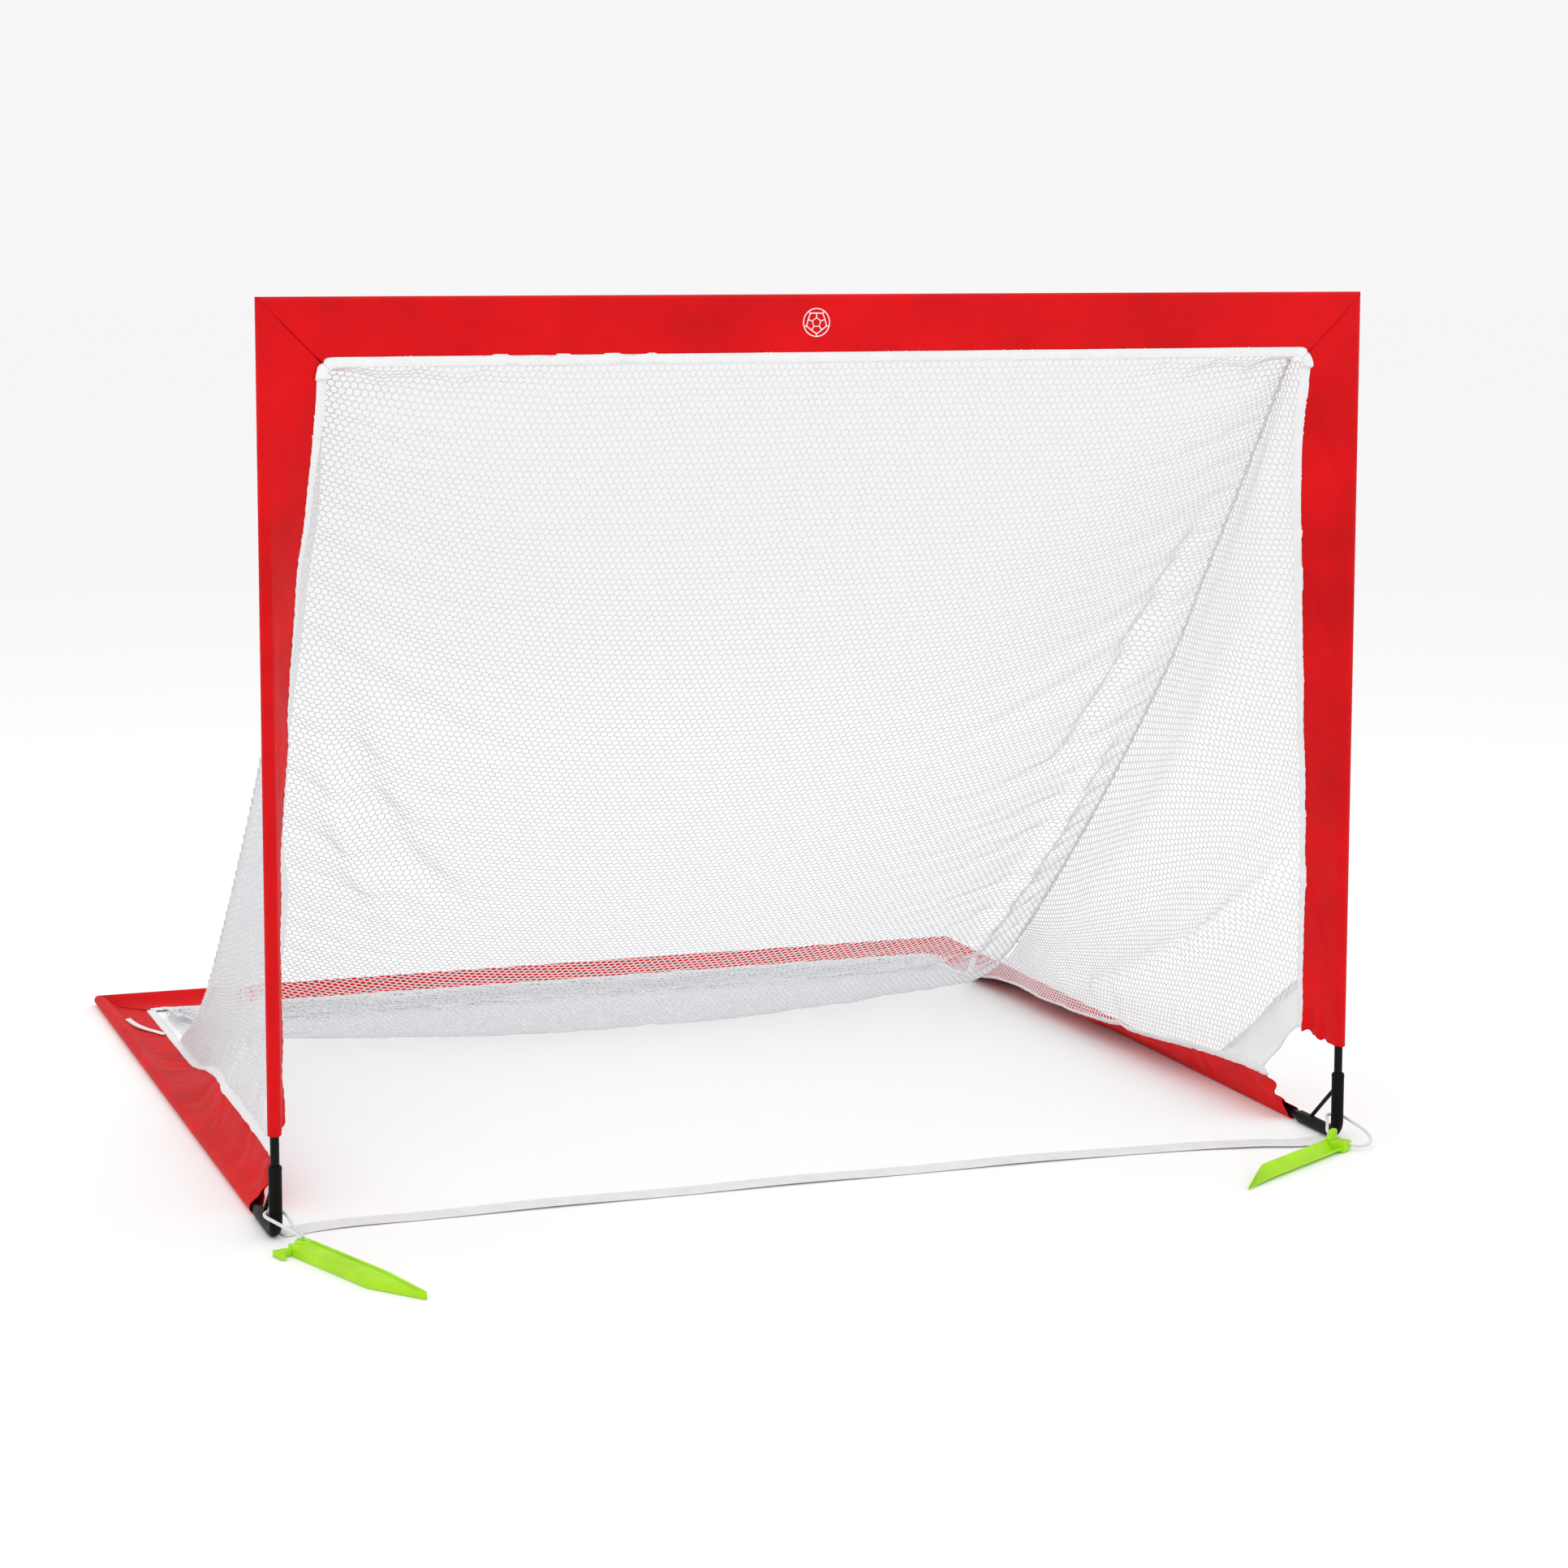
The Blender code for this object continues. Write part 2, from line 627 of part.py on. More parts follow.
def ground_strap(surface):
    """Webbing on the ground between the two feet."""
    low = 0.0002
    route = smooth_curve([(x, y, 0) for x, y in STRAP_ROUTE], 25)
    rings = []
    for index, point in enumerate(route):
        along = route[min(index + 1, len(route) - 1)] - route[max(index - 1, 0)]
        over = Vector((-along.y, along.x, 0)).normalized() * STRAP_WIDTH / 2
        if index in (0, len(route) - 1):
            over = Vector((0, STRAP_WIDTH / 2, 0))
        bottom, top = Vector((0, 0, low)), Vector((0, 0, low + STRAP_THICKNESS))
        rings.append([point + over + bottom, point - over + bottom, point - over + top, point + over + top])
    return solid_loft("ground_strap", rings, surface, smooth=False)


def offset_outline(outline, amount):
    """A convex outline moved in by an amount."""
    made = []
    count = len(outline)
    for i in range(count):
        before = (outline[i] - outline[i - 1]).normalized()
        after = (outline[(i + 1) % count] - outline[i]).normalized()
        bisector = (after - before).normalized()
        half = math.sin(before.angle(after) / 2)
        reach = amount / max(0.25, math.cos(before.angle(after) / 2))
        made.append(outline[i] + bisector * reach if half > 1e-6 else outline[i])
    return made


def stake(name, head, heading, groove_up, surface):
    """A channel-section ground stake that lies flat, with a bevelled point. The heading is from -Y towards +X."""
    w = STAKE_HALF_WIDTH
    plan = [(0.0, -w + 0.004), (0.004, -w), (STAKE_BEVEL, -w), (STAKE_LENGTH, w - 0.006), (STAKE_LENGTH - 0.002, w),
            (0.004, w), (0.0, w - 0.004)]
    plan = [Vector((a, b, 0)) for a, b in plan]
    pocket = offset_outline([Vector((max(p.x, 0.014), p.y, 0)) if p.x < 0.01 else p for p in plan], STAKE_WALL)
    low, high = 0.0003, STAKE_HEIGHT
    open_z, floor_z = (high, low + STAKE_WALL) if groove_up else (low, high - STAKE_WALL)
    closed_z = low if groove_up else high
    levels = ((plan, closed_z), (plan, open_z), (pocket, open_z), (pocket, floor_z))
    angle = math.radians(heading) - math.pi / 2
    turn = Matrix.Rotation(angle, 3, "Z")
    origin = Vector((*head, 0))
    rings = [[origin + turn @ p + Vector((0, 0, z)) for p in outline] for outline, z in levels]
    return solid_loft(name, rings, surface, smooth=False)


def stake_cord(name, side, head, heading, surface):
    """From the stake's head, round the foot's upright socket, and back to the head."""
    axis = Vector((side * HALF_WIDTH, 0, 0))
    angle = math.radians(heading) - math.pi / 2
    along = Vector((math.cos(angle), math.sin(angle), 0))
    over = Vector((-along.y, along.x, 0))
    tie = Vector((*head, STAKE_TIE_Z)) - 2 * JOINT_GAP * along
    towards = (tie - axis)
    towards.z = 0
    facing = math.atan2(towards.y, towards.x)
    loop = []
    for turn in (62, 110, 150, 180, 210, 250, 298):
        a = facing + math.radians(turn)
        loop.append(axis + Vector((LOOP_RADIUS * math.cos(a), LOOP_RADIUS * math.sin(a), LOOP_Z)))
    ends = [tie + STAKE_TIE_SPREAD * over, tie - STAKE_TIE_SPREAD * over]
    if (loop[0] - ends[0]).length > (loop[0] - ends[1]).length:
        ends.reverse()
    leads = []
    for tie_end, near in ((ends[0], loop[0]), (ends[1], loop[-1])):
        straight = tie_end - STAKE_TIE_RUN * along
        leads.append([tie_end, straight, straight.lerp(near, 0.5)])
    points = leads[0] + loop + leads[1][::-1]
    return cord(name, smooth_curve(points, 36), STAKE_CORD_RADIUS, surface)


def ground_gear(looks):
    ground_strap(looks["webbing"])
    for side, word, head, heading in ((LEFT, "left", LEFT_STAKE_HEAD, LEFT_STAKE_HEADING),
                                      (RIGHT, "right", RIGHT_STAKE_HEAD, RIGHT_STAKE_HEADING)):
        made = stake(f"{word}_stake", head, heading, side == RIGHT, looks["lime"])
        line = stake_cord(f"{word}_stake_cord", side, head, heading, looks["cord"])
        for item in (made, line):
            place_origin(item, (side * HALF_WIDTH, 0, 0))


# ---------------------------------------------------------------- assembly


def main():
    clear_scene()
    looks = {"red": red_polyester(), "binding": white_binding(), "net": white_net(), "webbing": white_webbing(),
             "cord": white_cord(), "plastic": black_plastic(), "fibreglass": black_fibreglass(),
             "steel": zinc_steel(), "lime": lime_plastic()}
    frame_of_poles(looks)
    fabric_covers(looks)
    net_bag(looks)
    ground_gear(looks)
    centre_of_goal()


main()
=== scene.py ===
import math

import bpy
import numpy as np
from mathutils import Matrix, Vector


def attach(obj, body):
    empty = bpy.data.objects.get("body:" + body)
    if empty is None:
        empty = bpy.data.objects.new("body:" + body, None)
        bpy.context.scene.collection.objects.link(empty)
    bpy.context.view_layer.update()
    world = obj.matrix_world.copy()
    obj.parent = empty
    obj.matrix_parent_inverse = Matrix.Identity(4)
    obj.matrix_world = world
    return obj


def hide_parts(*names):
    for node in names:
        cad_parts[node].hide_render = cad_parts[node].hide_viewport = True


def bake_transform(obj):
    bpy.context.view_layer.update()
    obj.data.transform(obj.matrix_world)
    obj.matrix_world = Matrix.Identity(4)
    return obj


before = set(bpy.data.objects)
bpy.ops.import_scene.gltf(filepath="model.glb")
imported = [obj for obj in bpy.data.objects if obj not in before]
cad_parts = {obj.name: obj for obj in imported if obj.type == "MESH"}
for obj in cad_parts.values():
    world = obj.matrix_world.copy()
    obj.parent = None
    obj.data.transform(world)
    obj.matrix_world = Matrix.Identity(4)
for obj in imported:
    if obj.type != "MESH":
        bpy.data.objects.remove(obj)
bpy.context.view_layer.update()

# The goal line's middle in the row frame. The pieces are laid out from there, in metres.
SHIFT = np.array((0.0, -0.5775, 0.0))

# Frame, between pole axes
HALF_WIDTH = 0.610
TOP_Z = 0.9522
REAR_Y = 1.155
BASE_Z = 0.0072

# Sleeves and their bindings
CHANNEL = 0.0072
REACH = 0.0530
FIN_THICKNESS = 0.0011
TAPE_MIDDLE = 0.0575
TAPE_HALF_WIDTH = 0.0058
TAPE_HALF_THICKNESS = 0.0013
CORNER_ROUND = 0.022
UPRIGHT_HEM = 0.112
BASE_HEM = 0.104
UPRIGHT_TWIST = ((0.110, 78.0), (0.400, 74.0), (0.540, 64.0), (0.680, 50.0), (0.780, 32.0), (0.840, 15.0),
                 (0.886, 0.0))
LEFT_BASE_TWIST = ((0.104, 74.0), (0.460, 62.0), (0.620, 30.0), (0.760, 0.0))
RIGHT_BASE_TWIST = ((0.104, 66.0), (0.280, 52.0), (0.440, 37.0), (0.560, 28.0), (0.820, 22.0), (0.960, 0.0))

# Net bag
SEAM_PROFILE = ((0.022, 0.884), (0.070, 0.820), (0.134, 0.735), (0.222, 0.622), (0.292, 0.530),
                (0.460, 0.352), (0.643, 0.180), (0.780, 0.068), (0.900, 0.006))
SEAM_X = 0.5425
NET_TOP = 0.8915
SEAM_TOP = 0.884
GROUND_FOLD = ((0.955, 0.003), (1.010, 0.003), (1.058, 0.004), (1.062, 0.009), (1.040, 0.012), (0.985, 0.013),
               (0.981, 0.018), (1.000, 0.020), (1.050, 0.014), (1.0945, 0.005))
NET_ROWS, NET_COLUMNS = 132, 82
SIDE_FOOT = 0.900
HOLE = 0.0078
ROW = HOLE * math.sqrt(3) / 2
STRAND_RADIUS = 0.00072
BACK_STRIPS = ("top", "upper", "lower", "bottom")
NET_SAG = 0.022
NET_SLACK, SETTLING_FRAMES = 0.018, 46
SIDE_FLAT = (0.95, 0.88)

LEFT, RIGHT = -1, 1
SIDES = ((LEFT, "left"), (RIGHT, "right"))
UP = (0, 0, 1)
FLOOR_GAP = 0.0003


# ---------------------------------------------------------------- small helpers


def unit(v):
    v = np.asarray(v, float)
    return v / np.maximum(np.linalg.norm(v, axis=-1, keepdims=True), 1e-12)


def ease(x, low, high):
    """0 below low, 1 above high, and smooth in between."""
    t = np.clip((np.asarray(x, float) - low) / (high - low), 0, 1)
    return t * t * (3 - 2 * t)


def eased_table(table, at):
    """Reads a table of (place, value) rows, rounding off its corners."""
    places, values = zip(*table)
    at = np.asarray(at, float)
    return sum(np.interp(at + d, places, values) for d in np.linspace(-0.03, 0.03, 7)) / 7


def curve_through(points, count):
    """Points at even distances on a Catmull-Rom curve through the given ones."""
    p = np.asarray(points, float)
    p = np.vstack([2 * p[0] - p[1], p, 2 * p[-1] - p[-2]])
    fine = []
    for i in range(len(p) - 3):
        a, b, c, d = p[i:i + 4]
        t = np.linspace(0, 1, 24, endpoint=i == len(p) - 4)[:, None]
        fine.append(0.5 * (2 * b + (c - a) * t + (2 * a - 5 * b + 4 * c - d) * t ** 2
                           + (3 * b - 3 * c + d - a) * t ** 3))
    return evenly(np.vstack(fine), count)


def distances(line):
    """How far along a line each of its points is."""
    return np.concatenate([[0], np.cumsum(np.linalg.norm(np.diff(line, axis=0), axis=1))])


def evenly_like(line, values, count):
    """Values that belong to a line's points, read at even distances along it."""
    run = distances(line)
    at = np.linspace(0, run[-1], count)
    return np.stack([np.interp(at, run, values[:, k]) for k in range(values.shape[1])], axis=1)


def evenly(line, count):
    return evenly_like(line, line, count)


def length_of(line):
    return float(np.linalg.norm(np.diff(line, axis=0), axis=1).sum())


def in_row(points):
    return np.asarray(points, float) + SHIFT


def piece(name, points, faces, surface, uv=None, smooth=True, sharp=None):
    """A mesh piece from goal-line points. uv holds one pair per point, in metres of cloth."""
    mesh = bpy.data.meshes.new(name)
    points = in_row(points)
    faces = [list(f) for f in faces]
    mesh.from_pydata(points.tolist(), [], faces)
    if uv is not None:
        layer = mesh.uv_layers.new(name="cloth")
        index = np.zeros(len(mesh.loops), np.int32)
        mesh.loops.foreach_get("vertex_index", index)
        layer.data.foreach_set("uv", np.asarray(uv, np.float32)[index].ravel())
    mesh.materials.append(surface)
    mesh.polygons.foreach_set("use_smooth", [smooth] * len(mesh.polygons))
    if sharp:
        mesh.set_sharp_from_angle(angle=math.radians(sharp))
    mesh.validate()
    made = bpy.data.objects.new(name, mesh)
    bpy.context.scene.collection.objects.link(made)
    return made


def placed_in(made, node=None, body=None):
    """Hangs a piece on the body it rides on and hides the CAD node it stands for."""
    if body:
        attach(made, body)
    if node:
        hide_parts(node)


def above_floor(points, gap=FLOOR_GAP):
    points[..., 2] = np.maximum(points[..., 2], gap)


def grid_faces(rows, columns, wrap=False, offset=0):
    """Quads between rows of points. wrap joins each row's last point to its first."""
    faces = []
    for i in range(rows - 1):
        for j in range(columns if wrap else columns - 1):
            k = (j + 1) % columns
            faces.append((offset + i * columns + j, offset + i * columns + k,
                          offset + (i + 1) * columns + k, offset + (i + 1) * columns + j))
    return faces


def square(side):
    """Corners of a square on the ground, from half its side."""
    return [(-side, -side, 0), (side, -side, 0), (side, side, 0), (-side, side, 0)]


def join(parts):
    """Joins (points, faces, uv) parts into one."""
    points, faces, uv, count = [], [], [], 0
    for p, f, t in parts:
        points.append(np.asarray(p, float))
        faces += [tuple(i + count for i in face) for face in f]
        uv.append(np.asarray(t, float) if t is not None else np.zeros((len(p), 2)))
        count += len(p)
    return np.vstack(points), faces, np.vstack(uv)


def frames_along(line, hint):
    """Tangent, side and normal at each point of a line. hint is the wanted normal, one or one per point."""
    line = np.asarray(line, float)
    tangent = unit(np.gradient(line, axis=0))
    hint = np.broadcast_to(np.asarray(hint, float), line.shape)
    side = unit(np.cross(tangent, hint))
    return tangent, side, np.cross(side, tangent)


def swept(line, section, hint, scale=None, caps=True):
    """A section of (side, normal) points carried along a line, as (points, faces, uv)."""
    line, section = np.asarray(line, float), np.asarray(section, float)
    _, side, normal = frames_along(line, hint)
    scale = np.ones(len(line)) if scale is None else np.asarray(scale, float)
    points = (line[:, None] + scale[:, None, None] * (section[None, :, :1] * side[:, None]
                                                      + section[None, :, 1:] * normal[:, None]))
    n, m = len(line), len(section)
    faces = grid_faces(n, m, wrap=True)
    if caps:
        faces += [tuple(range(m))[::-1], tuple((n - 1) * m + i for i in range(m))]
    uv = np.stack(np.meshgrid(distances(line), distances(section), indexing="ij"), axis=-1).reshape(-1, 2)
    return points.reshape(-1, 3), faces, uv


def round_section(radius, sides=12):
    a = np.linspace(0, 2 * math.pi, sides, endpoint=False)
    return np.stack([radius * np.cos(a), radius * np.sin(a)], axis=1)


def soft_bar(half_width, half_thickness, sides=16):
    """A flat band's section with rounded edges."""
    a = np.linspace(0, 2 * math.pi, sides, endpoint=False)
    x = np.sign(np.cos(a)) * np.abs(np.cos(a)) ** 0.45
    y = np.sign(np.sin(a)) * np.abs(np.sin(a)) ** 0.7
    return np.stack([half_width * x, half_thickness * y], axis=1)


# ---------------------------------------------------------------- materials


class Shader:
    """A Principled material with short names for adding and joining nodes."""

    def __init__(self, name, colour, roughness, **sockets):
        self.material = bpy.data.materials.new(name)
        self.material.use_nodes = True
        self.tree = self.material.node_tree
        self.tree.nodes.clear()
        self.output = self.add("OutputMaterial")
        self.principled = self.add("BsdfPrincipled")
        self.tree.links.new(self.principled.outputs["BSDF"], self.output.inputs["Surface"])
        self.set(self.principled, {"Base Color": (*colour, 1.0), "Roughness": roughness, **sockets})

    def add(self, kind, **sockets):
        node = self.tree.nodes.new("ShaderNode" + kind)
        self.set(node, sockets)
        return node

    def set(self, node, sockets):
        for key, value in sockets.items():
            node.inputs[key].default_value = value

    def link(self, source, target, socket):
        self.tree.links.new(source, target.inputs[socket])

    def cloth(self):
        """The piece's cloth coordinates, in metres."""
        return self.add("TexCoord").outputs["UV"]

    def position(self):
        return self.add("TexCoord").outputs["Object"]

    def noise(self, where, scale, detail=3.0, roughness=0.55):
        node = self.add("TexNoise", Scale=scale, Detail=detail, Roughness=roughness)
        self.link(where, node, "Vector")
        return node.outputs["Fac"]

    def maths(self, operation, a, b=None):
        node = self.add("Math")
        node.operation = operation
        for k, value in enumerate((a, b)):
            if value is None:
                continue
            if isinstance(value, (int, float)):
                node.inputs[k].default_value = value
            else:
                self.tree.links.new(value, node.inputs[k])
        return node.outputs[0]

    def threads(self, where, pitch, axis):
        """Rounded threads that run across an axis of the cloth."""
        split = self.add("SeparateXYZ")
        self.link(where, split, "Vector")
        phase = self.maths("MULTIPLY", split.outputs[axis], 2 * math.pi / pitch)
        return self.maths("ADD", self.maths("MULTIPLY", self.maths("SINE", phase), 0.5), 0.5)

    def ramp(self, source, low, high, first, last):
        node = self.add("MapRange")
        self.set(node, {"From Min": low, "From Max": high, "To Min": first, "To Max": last})
        self.link(source, node, "Value")
        return node.outputs["Result"]

    def colour_between(self, factor, dark, light):
        node = self.add("Mix")
        node.data_type = "RGBA"
        node.inputs["A"].default_value = (*dark, 1.0)
        node.inputs["B"].default_value = (*light, 1.0)
        self.link(factor, node, "Factor")
        self.tree.links.new(node.outputs["Result"], self.principled.inputs["Base Color"])

    def bump(self, height, strength, distance):
        node = self.add("Bump", Strength=strength, Distance=distance)
        self.link(height, node, "Height")
        self.tree.links.new(node.outputs["Normal"], self.principled.inputs["Normal"])


def woven(name, dark, light, roughness, pitch, strength, sheen, creases=0.35):
    """Plain weave with slow colour variation, faint scuffs and creases."""
    look = Shader(name, light, roughness,
                  **{"Sheen Weight": sheen, "Sheen Roughness": 0.4, "Specular IOR Level": 0.12})
    cloth, place = look.cloth(), look.position()
    warp, weft = look.threads(cloth, pitch, 0), look.threads(cloth, pitch, 1)
    weave = look.maths("MAXIMUM", look.maths("MULTIPLY", warp, 0.9), weft)
    blotch = look.noise(place, 9.0)
    scuff = look.noise(place, 60.0, detail=5.0)
    mixed = look.maths("ADD", look.maths("MULTIPLY", blotch, 0.75), look.maths("MULTIPLY", scuff, 0.25))
    look.colour_between(look.ramp(mixed, 0.32, 0.66, 0.0, 1.0), dark, light)
    look.link(look.ramp(scuff, 0.3, 0.75, roughness - 0.06, roughness + 0.08), look.principled, "Roughness")
    height = look.maths("ADD", look.maths("MULTIPLY", weave, 0.5),
                        look.maths("MULTIPLY", look.noise(place, 38.0), creases * 4.0))
    look.bump(height, strength, 0.0005)
    return look.material


def ribbed(name, dark, light, pitch, strength, roughness=0.72):
    """Webbing or tape: ribs across it and finer threads along it, with painted shade in their grooves."""
    look = Shader(name, light, roughness,
                  **{"Sheen Weight": 0.25, "Sheen Roughness": 0.5, "Specular IOR Level": 0.3})
    cloth = look.cloth()
    ribs, threads = look.threads(cloth, pitch, 0), look.threads(cloth, pitch * 0.6, 1)
    weave = look.maths("MULTIPLY", ribs, look.maths("ADD", look.maths("MULTIPLY", threads, 0.4), 0.6))
    # Colour: the grooves between ribs and threads are painted darker as painted shade, with a random noise
    # tone over it.
    groove_shade_and_tone = look.maths("ADD", look.maths("MULTIPLY", weave, 0.35),
                      look.maths("MULTIPLY", look.noise(look.position(), 40.0), 0.65))
    look.colour_between(look.ramp(groove_shade_and_tone, 0.2, 0.75, 0.0, 1.0), dark, light)
    look.bump(weave, strength, 0.0004)
    return look.material


def braided(name, colour, pitch):
    """Cord whose two sets of strands cross on the slant, with painted shade in the hollows between them."""
    look = Shader(name, colour, 0.7, **{"Sheen Weight": 0.2})
    cloth = look.cloth()
    split = look.add("SeparateXYZ")
    look.link(cloth, split, "Vector")
    along = look.maths("MULTIPLY", split.outputs[0], 2 * math.pi / pitch)
    around = look.maths("MULTIPLY", split.outputs[1], 2 * math.pi / pitch)
    one = look.maths("SINE", look.maths("ADD", along, around))
    two = look.maths("SINE", look.maths("SUBTRACT", along, around))
    height = look.maths("MAXIMUM", one, two)
    # The hollows between the strands get a darker colour: painted shade.
    dark = tuple(0.78 * c for c in colour)
    look.colour_between(look.ramp(height, -0.6, 0.9, 0.0, 1.0), dark, colour)
    look.bump(height, 0.6, 0.0004)
    return look.material


def moulded(name, dark, light, roughness, grain, strength, shine=0.5):
    """Moulded plastic with a faint grain, flow marks and handling scuffs."""
    look = Shader(name, light, roughness, **{"Specular IOR Level": shine})
    place = look.position()
    fine, broad = look.noise(place, grain, detail=4.0), look.noise(place, 25.0)
    look.colour_between(look.ramp(broad, 0.35, 0.65, 0.0, 1.0), dark, light)
    look.link(look.ramp(fine, 0.3, 0.7, roughness - 0.08, roughness + 0.12), look.principled, "Roughness")
    look.bump(fine, strength, 0.0003)
    return look.material


def plain(name, colour, roughness, **sockets):
    return Shader(name, colour, roughness, **sockets).material


DEEP_BLACK, SOFT_BLACK = (0.003, 0.003, 0.003), (0.006, 0.006, 0.006)
LOOKS = {
    "red": woven("red cloth", (0.54, 0.002, 0.004), (0.74, 0.003, 0.006), 0.60, 0.0009, 0.35, 0.0),
    "tape": ribbed("white tape", (0.80, 0.80, 0.81), (0.90, 0.90, 0.90), 0.0014, 0.45),
    "net": plain("net yarn", (0.86, 0.875, 0.90), 0.62, **{"Sheen Weight": 0.15, "Specular IOR Level": 0.3}),
    "seam": ribbed("seam thread", (0.62, 0.63, 0.66), (0.88, 0.89, 0.91), 0.0030, 0.8),
    "gusset": woven("white lining", (0.78, 0.79, 0.80), (0.88, 0.88, 0.89), 0.68, 0.0011, 0.3, 0.15),
    "webbing": ribbed("white webbing", (0.74, 0.74, 0.75), (0.90, 0.90, 0.90), 0.0022, 0.8),
    "cord": braided("white cord", (0.88, 0.88, 0.88), 0.0026),
    "thread": plain("white stitches", (0.86, 0.86, 0.87), 0.6),
    "print": plain("white print", (0.88, 0.88, 0.87), 0.55),
    "black": moulded("black moulding", DEEP_BLACK, SOFT_BLACK, 0.45, 700.0, 0.25, shine=0.08),
    "pole": moulded("black pole", DEEP_BLACK, SOFT_BLACK, 0.35, 500.0, 0.12, shine=0.1),
    "steel": moulded("zinc plate", (0.42, 0.42, 0.43), (0.60, 0.60, 0.61), 0.34, 260.0, 0.1),
    "lime": moulded("lime moulding", (0.36, 0.70, 0.006), (0.43, 0.80, 0.010), 0.45, 420.0, 0.15, shine=0.3),
}
LOOKS["steel"].node_tree.nodes["Principled BSDF"].inputs["Metallic"].default_value = 1.0


# ---------------------------------------------------------------- camera, light and floor


CAMERA_AT, CAMERA_TURN = (-1.291, -3.39, 1.009), (83.54, 0.0, -19.03)
CAMERA_LENS, CAMERA_SENSOR, CAMERA_SHIFT = 79.08, 36.0, (0.0358, -0.0942)
LAMPS = (
    # name, place, what it points at, size in metres and watts
    ("key", (-1.8, -3.0, 3.4), (0.0, 0.4, 0.4), 2.6, 30.0),
    ("fill", (3.2, -1.6, 2.2), (0.1, 0.5, 0.3), 3.0, 9.0),
    ("top", (0.2, 1.6, 3.6), (0.0, 0.6, 0.2), 3.0, 14.0),
)
WORLD_STRENGTH = 0.93
FLOOR_HALF_SIDE, FLOOR_GREY = 55.0, 0.99


def camera_and_light():
    data = bpy.data.cameras.new("camera")
    data.lens, data.sensor_width = CAMERA_LENS, CAMERA_SENSOR
    data.shift_x, data.shift_y = CAMERA_SHIFT
    data.clip_start, data.clip_end = 0.05, 60.0
    camera = bpy.data.objects.new("camera", data)
    camera.location = in_row(CAMERA_AT)
    camera.rotation_euler = [math.radians(a) for a in CAMERA_TURN]
    bpy.context.scene.collection.objects.link(camera)
    bpy.context.scene.camera = camera
    for name, at, aim, size, power in LAMPS:
        lamp = bpy.data.lights.new(name, "AREA")
        lamp.size, lamp.energy = size, power
        made = bpy.data.objects.new(name, lamp)
        made.location = in_row(at)
        made.rotation_euler = Vector(np.subtract(aim, at)).to_track_quat("-Z", "Y").to_euler()
        bpy.context.scene.collection.objects.link(made)
    world = bpy.data.worlds.new("studio")
    bpy.context.scene.world = world
    world.use_nodes = True
    background = world.node_tree.nodes["Background"]
    background.inputs["Color"].default_value = (1.0, 1.0, 1.0, 1.0)
    background.inputs["Strength"].default_value = WORLD_STRENGTH
    bpy.context.scene.view_settings.view_transform = "Standard"


def floor():
    look = plain("studio floor", (FLOOR_GREY,) * 3, 0.95, **{"Specular IOR Level": 0.0})
    piece("floor", square(FLOOR_HALF_SIDE), [(0, 1, 2, 3)], look)


# ---------------------------------------------------------------- cords and stakes


# Each stake's head in goal-line metres, and its heading in degrees
STAKE_HEADS = {"left": ((-0.5985, -0.0480), 20.0), "right": ((0.5945, -0.0370), -59.0)}
# Outlines of (across, up) points
STAKE_SECTIONS = {
    "left": ((-0.0125, 0.0006), (-0.0102, 0.0004), (-0.0100, 0.0072), (0.0062, 0.0089), (0.0072, 0.0072),
             (0.0086, 0.0072), (0.0096, 0.0088), (0.0100, 0.0004), (0.0125, 0.0006), (0.0125, 0.0128),
             (0.0098, 0.0130), (0.0088, 0.0104), (0.0070, 0.0102), (0.0058, 0.0122), (-0.0110, 0.0102),
             (-0.0125, 0.0090)),
    "right": ((-0.0108, 0.0100), (-0.0069, 0.0068), (-0.0017, 0.0020), (0.0009, 0.0004), (0.0043, 0.0004),
              (0.0069, 0.0016), (0.0095, 0.0036), (0.0108, 0.0048), (0.0108, 0.0064), (0.0093, 0.0067),
              (0.0073, 0.0048), (0.0047, 0.0027), (0.0026, 0.0024), (0.0000, 0.0034), (-0.0034, 0.0068),
              (-0.0069, 0.0104), (-0.0090, 0.0126), (-0.0108, 0.0124)),
}
STAKE_START, STAKE_BEVEL, STAKE_LENGTH = 0.012, 0.148, 0.215
STAKE_EDGE, STAKE_TIP, STAKE_UNDERSIDE = 0.0125, 0.0012, 0.0004
STAKE_THINNING = {"left": 0.35, "right": 0.70}
# Plan outlines of (along, across) points with the heights they lie between
STAKE_BLOCKS = {
    "left": ((((0.0, -0.0100), (0.0150, -0.0110), (0.0180, 0.0), (0.0180, 0.0110), (0.0090, 0.0115),
               (0.0100, 0.0030), (0.0060, -0.0040)), 0.0006, 0.0112),
             (((-0.0040, -0.0130), (0.0020, -0.0080), (0.0080, -0.0085), (0.0100, -0.0120),
               (0.0080, -0.0170), (0.0085, -0.0205), (0.0180, -0.0235), (0.0200, -0.0260),
               (0.0170, -0.0285), (-0.0010, -0.0280), (-0.0050, -0.0255), (-0.0030, -0.0190)),
              0.0006, 0.0062)),
    "right": ((((-0.0040, -0.0090), (0.0020, -0.0120), (0.0150, -0.0125), (0.0180, 0.0),
                (0.0150, 0.0125), (0.0020, 0.0120), (-0.0040, 0.0085)), 0.0006, 0.0118),),
}
# Outer and inner radius, (along, across) place, and heights of the boss round the cord's hole
STAKE_BOSSES = {
    "left": (0.0088, 0.0028, (0.0060, 0.0040), 0.0004, 0.0132),
    "right": (0.0050, 0.0024, (-0.0035, 0.0060), 0.0030, 0.0110),
}
